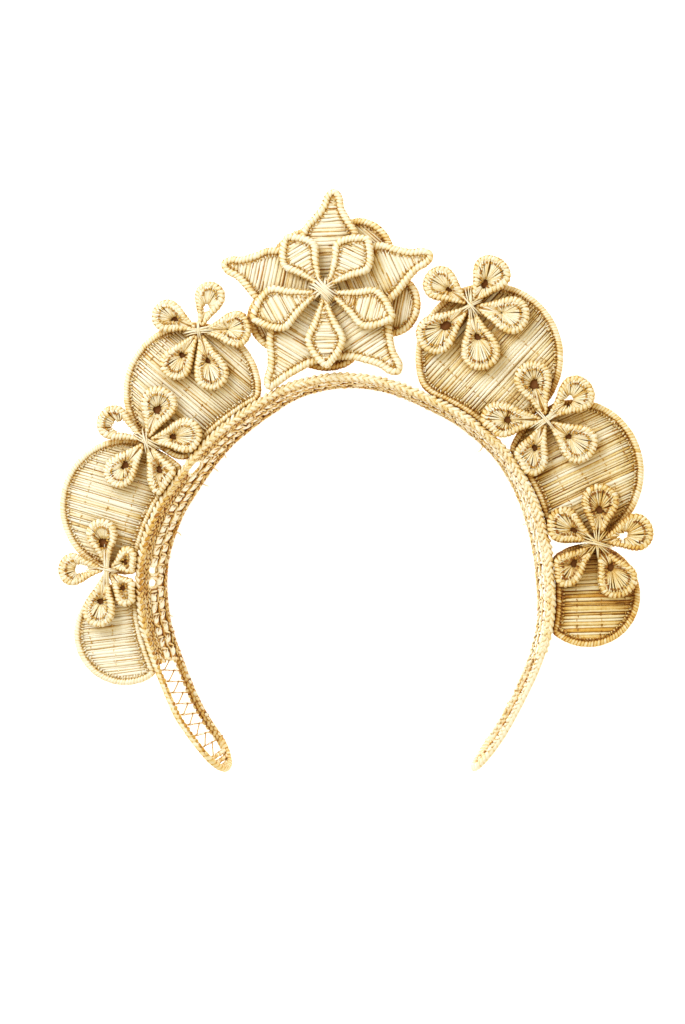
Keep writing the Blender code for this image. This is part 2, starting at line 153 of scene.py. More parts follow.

# Small flowers: name, centre x, y, paleness, then a row per petal with its angle, length,
# width, the eye's place along it and radius (0 for none), the rise of its tip and its roll.
# The right lower flower's low paleness is painted shade.
FLOWERS = [
    ("left_upper", -54.7, 69.2, 0.02, [
        (155, 19.8, 12.9, 0.50, 1.3, 0.5, 0.6),
        (72, 19.5, 12.2, 0.42, 1.5, 1.2, -0.5),
        (2, 20.4, 14.4, 0.50, 0.0, 0.3, 0.4),
        (-74, 23.7, 13.7, 0.48, 1.3, 0.0, 0.5),
        (-125, 21.8, 12.9, 0.50, 1.4, 0.4, -0.5),
    ]),
    ("left_middle", -75.2, 27.2, 0.04, [
        (151, 21.0, 13.7, 0.50, 3.5, 0.6, 0.4),
        (70, 21.8, 14.4, 0.58, 1.9, 1.0, 0.6),
        (8, 22.0, 13.7, 0.45, 1.4, 0.2, 0.5),
        (-65, 23.4, 12.9, 0.50, 1.5, 0.0, -0.6),
        (-131, 22.0, 12.9, 0.56, 1.7, 0.4, 0.5),
    ]),
    ("left_lower", -90.4, -21.9, 0.04, [
        (180, 19.1, 12.9, 0.54, 2.2, 0.4, 0.5),
        (98, 19.6, 12.2, 0.50, 2.2, 0.8, 0.5),
        (22, 13.4, 11.6, 0.54, 1.4, 0.0, -0.4),
        (-50, 16.8, 12.2, 0.54, 1.6, 0.3, 0.5),
        (-101, 22.7, 13.0, 0.54, 1.5, 0.6, 0.8),
    ]),
    ("right_upper", 48.8, 77.9, 0.0, [
        (144, 20.9, 13.7, 0.46, 1.2, 0.4, 0.5),
        (57, 21.1, 15.2, 0.42, 1.7, 1.0, -0.5),
        (-14, 22.7, 14.4, 0.50, 0.0, 0.3, 0.5),
        (-78, 25.0, 15.2, 0.46, 1.5, 0.0, 0.5),
        (-141, 24.6, 15.4, 0.48, 2.1, 0.4, -0.6),
    ]),
    ("right_middle", 77.1, 34.7, -0.02, [
        (108, 23.0, 14.4, 0.62, 2.1, 0.6, 0.5),
        (40, 21.7, 14.4, 0.50, 1.9, 1.0, 0.4),
        (-37, 22.2, 15.2, 0.44, 1.3, 0.4, 0.6),
        (-112, 22.6, 13.7, 0.48, 1.4, 0.2, -0.5),
        (180, 24.9, 14.4, 0.58, 1.6, 0.0, 0.5),
    ]),
    ("right_lower", 96.2, -11.7, -0.16, [
        (151, 21.0, 14.0, 0.44, 1.4, 0.3, 0.5),
        (86, 22.6, 14.4, 0.54, 1.7, 0.8, 0.5),
        (16, 21.7, 14.4, 0.44, 1.6, 1.0, -0.4),
        (-61, 22.5, 15.4, 0.42, 1.6, 0.4, 0.8),
        (-139, 22.2, 12.9, 0.50, 1.6, 0.2, 0.5),
    ]),
]
# Petals whose eye is open right through: flower, petal.
OPEN_EYES = {
    ("left_upper", 2), ("left_middle", 1), ("left_lower", 1), ("right_middle", 2), ("right_lower", 3),
}
# Bundles of pale strands over each small flower's middle: angle, strands, spread, half length.
TIES = {
    "left_upper": [(4, 5, 10, 6.0), (98, 2, 12, 4.6)],
    "left_middle": [(-30, 5, 8, 6.2), (100, 3, 14, 5.0)],
    "left_lower": [(90, 5, 5, 9.0), (170, 3, 14, 5.0)],
    "right_upper": [(96, 4, 6, 6.4), (28, 3, 16, 5.0), (130, 2, 12, 5.0)],
    "right_middle": [(36, 5, 8, 6.6), (126, 2, 14, 5.0)],
    "right_lower": [
        (12, 3, 12, 6.0), (52, 3, 12, 6.0), (92, 3, 12, 6.0), (132, 3, 12, 6.0), (168, 3, 10, 6.0),
    ],
}
CENTRE_TIES = [(8, 3, 12, 4.6), (88, 3, 12, 4.4), (40, 3, 12, 5.0), (136, 7, 6, 5.6)]

# Centre ornament: a row per petal with its angle, length, width and, in front, straw angle.
CENTRE = (-6.7, 84.0)
BACK_PETALS = [
    (125, 26.2, 23.0, 35),
    (49, 32.6, 23.0, -41),
    (-12, 37.0, 23.6, 80),
    (-88, 30.4, 25.0, 0),
    (-150, 32.6, 23.0, -62),
]
FRONT_PETALS = [
    (125, 25.6, 16.2, 30),
    (49, 26.4, 17.4, -25),
    (-22, 29.2, 16.4, 75),
    (-88, 29.6, 15.6, 0),
    (-159, 30.0, 18.0, -62),
]
# Star: angle, reach, reach of the valley after it and straw angle of every point, anticlockwise.
STAR_POINTS = [
    (18.2, 43.6, 22.6, -66),
    (84.5, 39.0, 20.6, 2),
    (164.6, 41.2, 23.0, 78),
    (240.0, 43.4, 26.8, -31),
    (312.5, 42.8, 25.2, 33),
]
STAR_POINT_WIDTHS = [(0.62, 10.6), (0.72, 7.8), (0.84, 4.9), (0.955, 3.6)]

# Wraps of each kind of cord: pitch, depth of the grooves, slant, how pale, how varied.
DISC_WRAPS = (1.15, 0.13, 0.30, 0.02, 0.08)
SMALL_PETAL_WRAPS = (1.42, 0.27, 0.30, -0.02, 0.08)
LARGE_PETAL_WRAPS = (1.46, 0.18, 0.42, -0.01, 0.08)
STAR_WRAPS = (1.50, 0.18, 0.42, -0.01, 0.08)
RIM_PITCH = 2.1

# Stitches along a cord: distance inside its middle, lift, pitch, size, tone.
# The pale rows are stitches; the dark rows are painted shade of the gaps between the wraps.
DISC_STITCHES = [
    (1.75, 0.68, 1.35, (1.50, 0.66, 0.55), 0.62),
    (1.50, 0.92, 1.35, (0.62, 0.52, 0.40), 0.10),
]
LARGE_PETAL_STITCHES = [
    (0.25, 0.55, 1.70, (1.30, 0.66, 0.50), 0.60),
    (0.05, 0.84, 1.62, (0.90, 0.60, 0.44), 0.08),
]
STAR_STITCHES = [
    (0.25, 0.62, 1.70, (1.30, 0.66, 0.50), 0.60),
    (0.05, 0.92, 1.66, (0.90, 0.60, 0.44), 0.08),
]

# Close work of the net. Each row of cells has these stitches: shift along the band, place across
# from the row's middle, lift, slant, size, tone, how varied.
CELL_ROWS = [(0.50, 0.0), (0.80, 1.6)]
CELL_STITCHES = [
    (0.0, 0.000, 0.42, 84.0, (7.6, 4.00, 1.2), 0.94, 0.12),
    (2.3, 0.000, 0.62, 90.0, (7.8, 1.10, 1.3), 0.44, 0.12),
    (1.2, 0.030, 1.02, 70.0, (4.6, 0.55, 0.6), 0.50, 0.12),
    (0.0, 0.145, 0.75, 12.0, (4.6, 1.20, 1.2), 0.44, 0.14),
    (2.3, 0.155, 0.95, -30.0, (2.6, 1.10, 1.0), 0.30, 0.12),
]
# Braid in front of the cells, its dark tone painted shade: place across, slant, tone.
BRAID_ROWS = [(0.085, 38.0, 0.42), (0.150, -38.0, 0.28), (0.215, 38.0, 0.26), (0.285, -38.0, 0.40)]
# Stitches inside the rim at both legs: whether on the right, pitch, place across, size, tone.
# The left leg's rows are dark as painted shade, the right leg's pale as painted light.
LEG_STITCHES = [
    (False, 1.9, 0.0, (1.9, 1.2, 0.9), 0.14),
    (False, 1.7, 1.0, (1.8, 1.0, 0.9), 0.24),
    (True, 1.9, 0.0, (2.2, 1.2, 0.9), 0.76),
    (True, 1.9, 1.0, (2.4, 1.4, 0.9), 0.80),
]
# Places along the band of the cut thread ends.
STRAY_ENDS = (66.0, 74.0, 91.0, 103.0, 126.0, 134.0, 141.0, 262.0, 300.0)

# Camera: the photograph is taken from in front, turned 5.5 degrees towards its right side.
CAMERA_AWAY = 900.0
CAMERA_TURN = 5.5
MM_PER_PIXEL = 0.38
PHOTO_HEIGHT = 1024
SENSOR = 36.0


# Shader maths

class Value:
    """A socket that carries a number. Sums and products on it add Math nodes."""

    def __init__(self, tree, socket):
        self.tree = tree
        self.socket = socket

    def math(self, operation, first, second):
        node = self.tree.nodes.new("ShaderNodeMath")
        node.operation = operation
        for socket, value in zip(node.inputs, (first, second)):
            if isinstance(value, Value):
                self.tree.links.new(value.socket, socket)
            else:
                socket.default_value = value
        return Value(self.tree, node.outputs[0])

    def __add__(self, other):
        return self.math("ADD", self, other)

    def __radd__(self, other):
        return self.math("ADD", other, self)

    def __sub__(self, other):
        return self.math("SUBTRACT", self, other)

    def __rsub__(self, other):
        return self.math("SUBTRACT", other, self)

    def __mul__(self, other):
        return self.math("MULTIPLY", self, other)

    def __rmul__(self, other):
        return self.math("MULTIPLY", other, self)


class Finish:
    """A material and its node tree."""

    def __init__(self, name):
        self.material = bpy.data.materials.new(name)
        self.material.use_nodes = True
        self.tree = self.material.node_tree
        self.shader = self.tree.nodes["Principled BSDF"]

    def node(self, kind, settings, sockets, output):
        """Adds a node: settings first, then the values and links of its sockets."""
        node = self.tree.nodes.new(kind)
        for name, value in settings.items():
            if name == "stops":
                self.set_stops(node.color_ramp, value)
            else:
                setattr(node, name, value)
        for name, value in sockets.items():
            self.feed(node.inputs[name], value)
        return Value(self.tree, node.outputs[output])

    def set_stops(self, ramp, stops):
        while len(ramp.elements) < len(stops):
            ramp.elements.new(1.0)
        for element, (place, colour) in zip(ramp.elements, stops):
            element.position = place
            element.color = (*colour, 1.0)

    def feed(self, socket, value):
        if isinstance(value, Value):
            self.tree.links.new(value.socket, socket)
        else:
            socket.default_value = value

    def attribute(self, name):
        return self.node("ShaderNodeAttribute", {"attribute_name": name}, {}, "Fac")

    def noise(self, place, scale, detail, rough=0.5):
        sockets = {"Vector": place, "Scale": scale, "Detail": detail, "Roughness": rough}
        return self.node("ShaderNodeTexNoise", {}, sockets, "Fac")


def palm_finish(name, roughness, lines, sheen):
    """Dried palm fibre, finely streaked: pale on its crests, with painted shade that turns its hollows
    golden to brown.
    """
    finish = Finish(name)
    place = finish.node("ShaderNodeTexCoord", {}, {}, "Object")
    tone = finish.attribute("tone")
    groove = finish.attribute("groove")
    lane = finish.attribute("lane")
    # Ambient occlusion, used only for painted shade in the colour.
    open_air = finish.node("ShaderNodeAmbientOcclusion", {"samples": 4}, {"Distance": 0.0065}, "AO")
    broad = finish.noise(place, 55.0, 2.0)
    speckle = finish.noise(place, 750.0, 3.0, 0.6)
    across = {"W": lane * lines, "Scale": 1.0, "Detail": 2.0}
    streak = finish.node("ShaderNodeTexNoise", {"noise_dimensions": "1D"}, across, "Fac")
    worn = (broad - 0.5) * 0.26 + (speckle - 0.5) * 0.34 + (streak - 0.5) * 0.56
    # Painted shade: the groove value and the occlusion pull the colour down the ramp to gold and brown.
    shade = tone + 0.26 + worn - groove * 0.56 - (1.0 - open_air) * 0.76
    colour = finish.node("ShaderNodeValToRGB", {"stops": STRAW_STOPS}, {"Fac": shade}, "Color")
    finish.feed(finish.shader.inputs["Base Color"], colour)
    finish.feed(finish.shader.inputs["Roughness"], roughness + (speckle - 0.5) * 0.30 + groove * 0.12)
    relief = streak * 0.7 + speckle * 0.3
    bump = {"Height": relief, "Strength": 0.55, "Distance": 0.00022}
    normal = finish.node("ShaderNodeBump", {}, bump, "Normal")
    finish.feed(finish.shader.inputs["Normal"], normal)
    finish.shader.inputs["Sheen Weight"].default_value = sheen
    finish.shader.inputs["Sheen Roughness"].default_value = 0.4
    finish.shader.inputs["Specular IOR Level"].default_value = 0.38
    return finish.material


DEEP = (0.205, 0.066, 0.006)
BROWN = (0.48, 0.166, 0.010)
GOLD = (0.73, 0.434, 0.066)
STRAW = (0.845, 0.688, 0.325)
CREAM = (0.930, 0.855, 0.680)
PALE = (0.965, 0.940, 0.860)
STRAW_STOPS = [(0.0, DEEP), (0.19, BROWN), (0.39, GOLD), (0.58, STRAW), (0.78, CREAM), (1.0, PALE)]
WRAP_FINISH = palm_finish("wrapped palm strand", 0.52, 3.4, 0.10)
FIELD_FINISH = palm_finish("laid palm straw", 0.48, 5.0, 0.08)
NET_FINISH = palm_finish("knotted palm thread", 0.58, 4.0, 0.08)
TIE_FINISH = palm_finish("bleached palm strand", 0.44, 5.0, 0.08)


# Curves and the headband's surface

def smooth_open(points, steps=16):
    """Dense curve through open control points."""
    p = np.array(points, dtype=float)
    p = np.vstack([2 * p[0] - p[1], p, 2 * p[-1] - p[-2]])
    return np.vstack([curve_part(p, i, steps) for i in range(1, len(p) - 2)] + [p[-2][None]])


def smooth_closed(points, steps=8):
    """Dense curve through the points of a closed path."""
    p = np.array(points, dtype=float)
    p = np.vstack([p[-1:], p, p[:2]])
    return np.vstack([curve_part(p, i, steps) for i in range(1, len(p) - 2)])


def curve_part(p, i, steps):
    t = (np.arange(steps) / steps)[:, None]
    b = p[i + 1] - p[i - 1]
    c = 2 * p[i - 1] - 5 * p[i] + 4 * p[i + 1] - p[i + 2]
    d = 3 * p[i] - 3 * p[i + 1] + p[i + 2] - p[i - 1]
    return 0.5 * (2 * p[i] + b * t + c * t * t + d * t ** 3)


def unit(v):
    return v / np.maximum(np.linalg.norm(v, axis=-1, keepdims=True), 1e-9)


def heading(angle):
    """Directions along and across an angle in the plane of the front."""
    a = math.radians(angle)
    return np.array([math.cos(a), math.sin(a)]), np.array([-math.sin(a), math.cos(a)])


def loop_arc(path):
    """Distance along a closed path at each of its points and, last, all round."""
    steps = np.linalg.norm(np.roll(path, -1, axis=0) - path, axis=1)
    return np.concatenate([[0.0], np.cumsum(steps)])


def along_loop(values, arc, where):
    """Values given at each point of a closed path, read off at distances along it."""
    around = np.vstack([values, values[:1]])
    where = where % arc[-1]
    return np.stack([np.interp(where, arc, around[:, i]) for i in range(around.shape[1])], axis=-1)


class Band:
    """The headband's surface: place along the front edge, place across from 0 in front to 1 behind."""

    def __init__(self):
        self.line = smooth_open(BAND_EDGE)
        steps = np.linalg.norm(np.diff(self.line, axis=0), axis=1)
        self.arc = np.concatenate([[0.0], np.cumsum(steps)])
        self.length = float(self.arc[-1])

    def at(self, s):
        return np.stack([np.interp(s, self.arc, self.line[:, i]) for i in (0, 1)], axis=-1)

    def outward(self, s):
        s = np.asarray(s, dtype=float)
        t = unit(self.at(np.minimum(s + 1.5, self.length)) - self.at(np.maximum(s - 1.5, 0.0)))
        return np.stack([-t[..., 1], t[..., 0]], axis=-1)

    def point(self, s, across, lift=0.0):
        """A point of the surface, lifted off it towards the wearer's head."""
        s, across = np.broadcast_arrays(np.asarray(s, dtype=float), np.asarray(across, dtype=float))
        inset = np.interp(s / self.length, *zip(*BAND_INSET))
        xy = self.at(s) - self.outward(s) * (inset * across + lift)[..., None]
        return np.concatenate([xy, (FRONT_Z + (BACK_Z - FRONT_Z) * across)[..., None]], axis=-1)

    def along(self, s, across):
        return unit(self.point(s + 0.5, across) - self.point(s - 0.5, across))

    def leaning(self, s, across, lift=0.0):
        """A point of the net, whose cross threads lean towards the tips at the back."""
        s, across = np.broadcast_arrays(np.asarray(s, dtype=float), np.asarray(across, dtype=float))
        near = np.minimum(s, self.length - s)
        ramp = np.clip((near - 9.0) / 9.0, 0.0, 1.0) * np.clip((NET_TOP + 20.0 - near) / 20.0, 0.0, 1.0)
        shift = NET_SKEW * ramp * (across - 0.5)
        return self.point(np.where(near == s, s - shift, s + shift), across, lift)

    def inward(self, s):
        out = self.outward(s)
        return np.concatenate([-out, np.zeros(out.shape[:-1] + (1,))], axis=-1)

    def push_out(self, xy, clearance):
        """Moves a point off the front edge until it is clear of it."""
        away = self.line - xy
        nearest = int(np.argmin((away ** 2).sum(1)))
        normal = self.outward(self.arc[nearest])
        lies = float(np.dot(xy - self.line[nearest], normal))
        if lies >= clearance or lies < -30.0:
            return xy
        return xy + normal * (clearance - lies)


BAND = Band()


# Fibre work

class Work:
    """Fibre work gathered for one piece: points, four-cornered faces and three values a point.

    tone is how pale the fibre is, the groove value how deep a place lies between fibres, which the
    finish paints as shade, and lane its place across the fibres, which the streaks follow.
    """

    def __init__(self, seed, pale=0.0):
        self.random = np.random.default_rng(seed)
        self.pale = pale
        self.points = []
        self.faces = []
        self.values = []
        self.count = 0

    def add(self, points, faces, tone, groove, lane):
        shape = points.shape[:-1]
        flat = [np.broadcast_to(v, shape).ravel() for v in (tone, groove, lane)]
        self.points.append(points.reshape(-1, 3))
        self.faces.append(np.asarray(faces).reshape(-1, 4) + self.count)
        self.values.append(np.stack(flat, axis=1))
        self.count += self.points[-1].shape[0]

    def sweep(self, path, side, wide, high, sides, tone, groove=0.0):
        """Runs an oval along many open paths at once: path is strands by rings by 3."""
        ahead = np.concatenate([path[:, 1:], path[:, -1:]], axis=1)
        behind = np.concatenate([path[:, :1], path[:, :-1]], axis=1)
        t = unit(ahead - behind)
        side = unit(side - t * (side * t).sum(-1, keepdims=True))
        up = np.cross(t, side)
        turn = 2.0 * np.pi * (np.arange(sides) + 0.5) / sides
        reach_side = np.broadcast_to(wide, path.shape[:2])[..., None] * np.cos(turn)
        reach_up = np.broadcast_to(high, path.shape[:2])[..., None] * np.sin(turn)
        points = path[:, :, None] + side[:, :, None] * reach_side[..., None]
        points = points + up[:, :, None] * reach_up[..., None]
        strands, rings = path.shape[:2]
        index = np.arange(strands * rings * sides).reshape(strands, rings, sides)
        faces = np.concatenate([between(index, False), lids(index)])
        tone, groove = (np.broadcast_to(v, path.shape[:2])[..., None] for v in (tone, groove))
        lane = np.abs(np.arange(sides) - 0.5 * (sides - 1)) * 0.5
        offset = self.random.uniform(0.0, 90.0, (strands, 1, 1))
        self.add(points, faces, tone + self.pale, groove, lane[None, None] + offset)

    def stitches(self, centres, along, across, up, sizes, tone):
        """Sets copies of the modelled stitch at their places, each turned and sized."""
        corners, faces = STITCH
        body = corners[None] * sizes[:, None] * 0.5
        points = (
            centres[:, None]
            + body[..., 0:1] * along[:, None]
            + body[..., 1:2] * across[:, None]
            + body[..., 2:3] * up[:, None]
        )
        count = len(centres)
        faces = faces[None] + (np.arange(count) * len(corners))[:, None, None]
        lane = body[..., 1] + self.random.uniform(0.0, 90.0, (count, 1))
        # Painted shade on the underside of each stitch.
        underside_shade = np.clip(-corners[:, 2] * 0.5, 0.0, 1.0)[None]
        tone = np.broadcast_to(np.asarray(tone, dtype=float), (count,))[:, None]
        self.add(points, faces, tone + self.pale, underside_shade, lane)

    def cord(self, path, radii, side, wraps, sides=10, low=0.0):
        """A core wrapped turn by turn along a closed path, no lower than a height.

        Each turn swells between two grooves, deepest on the side that faces the work inside. Painted shade
        darkens the grooves, that side and, less, the outer side.
        """
        pitch, depth, slant, rest, varied = wraps
        arc = loop_arc(path)
        count = max(int(round(arc[-1] / pitch)), 6)
        turns = self.random.uniform(0.82, 1.18, count)
        ends = np.concatenate([[0.0], np.cumsum(turns)]) / turns.sum() * arc[-1]
        share = np.array([0.0, 0.22, 0.55, 0.80])
        swell = np.array([1.0 - depth, 0.985, 1.0, 0.97])
        turn_gap_shade = np.array([1.0, 0.25, 0.0, 0.30])
        stops = (ends[:-1, None] + np.diff(ends)[:, None] * share).ravel()
        bulk = np.repeat(self.random.uniform(0.95, 1.03, count), len(share))
        swell = np.tile(swell, count)
        turn_gap_shade = np.tile(turn_gap_shade, count)
        tone = np.repeat(self.random.normal(0.66, varied, count), len(share))
        here = along_loop(path, arc, stops)
        r = along_loop(radii[:, None], arc, stops)[:, 0] * bulk
        tone = tone + along_loop(np.broadcast_to(rest, (len(path),))[:, None], arc, stops)[:, 0]
        t = unit(along_loop(path, arc, stops + 0.35) - along_loop(path, arc, stops - 0.35))
        s = along_loop(side, arc, stops)
        s = unit(s - t * (s * t).sum(-1, keepdims=True))
        up = np.cross(t, s)
        turn = 2.0 * np.pi * (np.arange(sides) + 0.5) / sides
        within = np.clip(np.cos(turn), 0.0, 1.0)
        without = np.clip(-np.cos(turn), 0.0, 1.0)
        bite = 0.46 + 0.54 * within + 0.40 * without
        reach = r[:, None] * (1.0 - (1.0 - swell)[:, None] * bite)
        ring = s[:, None] * np.cos(turn)[:, None] + up[:, None] * np.sin(turn)[:, None]
        lean = t[:, None] * (slant * np.cos(turn))[None, :, None]
        points = here[:, None] + (ring + lean) * reach[..., None]
        points[..., 2] = np.maximum(points[..., 2], low)
        index = np.arange(len(stops) * sides).reshape(1, len(stops), sides)
        # Painted shade between the turns, on the side towards the work and on the outer side.
        groove = turn_gap_shade[:, None] * bite + 0.34 * within ** 2 + 0.22 * without ** 2
        self.add(points, between(index, True), tone[:, None] + self.pale, groove, stops[:, None] * 1.3)

    def straws(self, starts, ends, wide, high, tone, rings, bow, sides=6, groove=0.0):
        """Loose straws from start to end, each a little bowed and thinner at its ends."""
        count = len(starts)
        along = ends - starts
        across = unit(np.cross(UP, along))
        share = np.linspace(0.0, 1.0, rings)[None, :, None]
        path = starts[:, None] + along[:, None] * share
        for direction, size in ((across, bow), (np.broadcast_to(UP, across.shape), 0.5 * bow)):
            swing = self.random.normal(0.0, size, (count, 1, 1)) * np.sin(np.pi * share)
            swing += self.random.normal(0.0, 0.45 * size, (count, 1, 1)) * np.sin(2.0 * np.pi * share)
            path = path + direction[:, None] * swing
        taper = np.ones(rings)
        taper[[0, -1]] = 0.55
        wide = np.broadcast_to(wide, (count,))[:, None] * taper
        high = np.broadcast_to(high, (count,))[:, None] * taper
        side = np.broadcast_to(-across[:, None], path.shape)
        self.sweep(path, side, wide, high, sides, np.broadcast_to(tone, (count,))[:, None], groove)

    def sheet(self, outline, z, thickness, tone, groove):
        """A thin closed backing inside an outline, standing for the fibres behind; its dark tone is painted
        shade where it shows between the straws or through an eye.
        """
        middle = outline.mean(0)
        ring = np.concatenate([outline, middle[None]])
        count = len(outline)
        top = np.column_stack([ring, np.full(count + 1, z + 0.5 * thickness)])
        low = np.column_stack([ring, np.full(count + 1, z - 0.5 * thickness)])
        faces = []
        for i in range(0, count, 2):
            a, b, c = i, (i + 1) % count, (i + 2) % count
            faces.append((a, b, c, count))
            faces.append((count + 1 + c, count + 1 + b, count + 1 + a, 2 * count + 1))
        for i in range(count):
            m = (i + 1) % count
            faces.append((i, count + 1 + i, count + 1 + m, m))
        self.add(np.concatenate([top, low]), np.array(faces), tone + self.pale, groove, 0.0)

    def finish(self, name, slot, material, *nodes):
        """Makes the piece, sets it in place of its solids and lets it move with the part."""
        points = (np.concatenate(self.points) + SHIFT) * MM
        faces = np.concatenate(self.faces)
        values = np.concatenate(self.values)
        mesh = bpy.data.meshes.new(name)
        mesh.vertices.add(len(points))
        mesh.vertices.foreach_set("co", points.astype(np.float32).ravel())
        mesh.loops.add(faces.size)
        mesh.loops.foreach_set("vertex_index", faces.astype(np.int32).ravel())
        mesh.polygons.add(len(faces))
        mesh.polygons.foreach_set("loop_start", np.arange(0, faces.size, 4, dtype=np.int32))
        mesh.update(calc_edges=True)
        mesh.polygons.foreach_set("use_smooth", np.ones(len(faces), dtype=bool))
        for column, attribute in enumerate(("tone", "groove", "lane")):
            layer = mesh.attributes.new(attribute, "FLOAT", "POINT")
            layer.data.foreach_set("value", values[:, column].astype(np.float32))
        mesh.validate()
        mesh.materials.append(material)
        piece = bpy.data.objects.new(name, mesh)
        bpy.context.scene.collection.objects.link(piece)
        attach(piece, "root")
        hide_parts(*nodes)
        return piece


def between(index, closed):
    """Faces between each ring and the next."""
    here = index if closed else index[:, :-1]
    there = np.roll(index, -1, axis=1) if closed else index[:, 1:]
    faces = np.stack([here, np.roll(here, -1, axis=2), np.roll(there, -1, axis=2), there], axis=-1)
    return faces.reshape(-1, 4)


def lids(index):
    """Faces that close both ends of every strand."""
    sides = index.shape[2]
    faces = []
    for i in range(sides // 2 - 1):
        corners = [i, i + 1, sides - 2 - i, sides - 1 - i]
        faces.append(index[:, -1][:, corners])
        faces.append(index[:, 0][:, corners[::-1]])
    return np.concatenate(faces)


def model_stitch():
    """One plump stitch: a block rounded off by subdivision, one unit in radius each way."""
    bpy.ops.object.select_all(action="DESELECT")
    bpy.ops.mesh.primitive_cube_add(size=2.0)
    block = bpy.context.object
    block.modifiers.new("round", "SUBSURF").levels = 1
    bpy.ops.object.modifier_apply(modifier="round")
    points = np.array([v.co[:] for v in block.data.vertices])
    faces = np.array([p.vertices[:] for p in block.data.polygons])
    bpy.data.objects.remove(block, do_unlink=True)
    return points / np.abs(points).max(0), faces


STITCH = model_stitch()


def ring_sides(path):
    """Directions to the left of a path that lies flat."""
    t = unit(np.roll(path, -1, axis=0) - np.roll(path, 1, axis=0))
    return np.cross(UP, t)


def chords(outline, angle, offsets):
    """Where straight lines at an angle run inside an outline: starts, ends, and which line."""
    along, across = heading(angle)
    u, v = outline @ along, outline @ across
    starts, ends, lines = [], [], []
    for n, offset in enumerate(offsets):
        low, high = v, np.roll(v, -1)
        crossing = (low <= offset) != (high <= offset)
        share = (offset - low[crossing]) / (high - low)[crossing]
        cuts = np.sort(u[crossing] + share * (np.roll(u, -1) - u)[crossing])
        for first, last in zip(cuts[0::2], cuts[1::2]):
            if last - first > 1.2:
                starts.append(along * first + across * offset)
                ends.append(along * last + across * offset)
                lines.append(n)
    return np.array(starts), np.array(ends), np.array(lines)


def lay_field(work, outline, angle, z, lift, width, tone=0.66, rows=0.0, gap_shade_share=0.30):
    """Fills an outline with straws at an angle, on both faces, over a backing darkened as painted shade."""
    reach = outline @ heading(angle)[1]
    steps = work.random.uniform(0.55, 1.45, int((reach.max() - reach.min()) / width) + 1) * width
    edges = reach.min() + np.cumsum(steps)
    offsets = edges - 0.5 * steps
    for face in (1.0, -1.0):
        starts, ends, lines = chords(outline, angle, offsets)
        if not len(starts):
            continue
        count = len(starts)
        heights = z + face * (lift + work.random.uniform(-0.16, 0.10, count))
        starts = np.column_stack([starts, heights])
        ends = np.column_stack([ends, heights + work.random.normal(0.0, 0.05, count)])
        wide = steps[lines] * work.random.uniform(0.54, 0.66, count)
        tones = tone + work.random.normal(0.0, 0.12, count)
        work.straws(starts, ends, wide, 0.20, tones, rings=5, bow=0.13)
        # Painted shade: dark lines along a share of the gaps between the straws.
        dark = edges[work.random.random(len(edges)) < gap_shade_share]
        painted_gap_shade(work, outline, angle, dark, z + face * (lift + 0.08), 0.16 + 0.30 * gap_shade_share)
    if rows > 0.0:
        tack_rows(work, outline, angle + 90.0, z, lift, rows)
    work.sheet(outline, z, 2.0 * lift - 0.22, 0.44, 0.25)


def painted_gap_shade(work, outline, angle, edges, z, widest):
    """Dark brown strips of varied length that lie low between the straws: painted shade of the gaps."""
    starts, ends, _ = chords(outline, angle, edges)
    if not len(starts):
        return
    count = len(starts)
    share = np.sort(work.random.uniform(-0.15, 1.15, (count, 2)), axis=1).clip(0.02, 0.98)
    long_enough = (share[:, 1] - share[:, 0]) * np.linalg.norm(ends - starts, axis=1) > 1.5
    starts, ends, share = starts[long_enough], ends[long_enough], share[long_enough]
    if not len(starts):
        return
    count = len(starts)
    heights = np.full(count, z)
    first = np.column_stack([starts + (ends - starts) * share[:, :1], heights])
    last = np.column_stack([starts + (ends - starts) * share[:, 1:], heights])
    wide = work.random.uniform(0.08, widest, count)
    tones = work.random.uniform(0.04, 0.42, count)
    work.straws(first, last, wide, 0.16, tones, rings=4, sides=4, bow=0.03, groove=0.3)


def tack_rows(work, outline, angle, z, lift, rows):
    """Rows of small tacking stitches across the straws."""
    along, across = heading(angle)
    reach = outline @ across
    offsets = np.arange(reach.min() + 0.45 * rows, reach.max() - 1.5, rows)
    starts, ends, _ = chords(outline, angle, offsets)
    spots = []
    for start, end in zip(starts, ends):
        length = np.linalg.norm(end - start)
        for place in np.arange(2.2, length - 1.8, 1.9):
            swing = work.random.normal(0.0, 0.25, 2)
            spots.append(start + along * (place + swing[0]) + across * swing[1])
    if not spots:
        return
    spots = np.array(spots)
    for face in (1.0, -1.0):
        centres = np.column_stack([spots, np.full(len(spots), z + face * (lift + 0.22))])
        lean = np.radians(angle + work.random.normal(0.0, 14.0, len(spots)))
        direction = np.column_stack([np.cos(lean), np.sin(lean), 0.0 * lean])
        sizes = np.column_stack([
            work.random.uniform(0.75, 1.30, len(spots)),
            work.random.uniform(0.30, 0.46, len(spots)),
            np.full(len(spots), 0.44),
        ])
        up = np.broadcast_to(UP * face, direction.shape)
        tones = work.random.normal(0.26, 0.14, len(spots))
        work.stitches(centres, direction, np.cross(up, direction), up, sizes, tones)


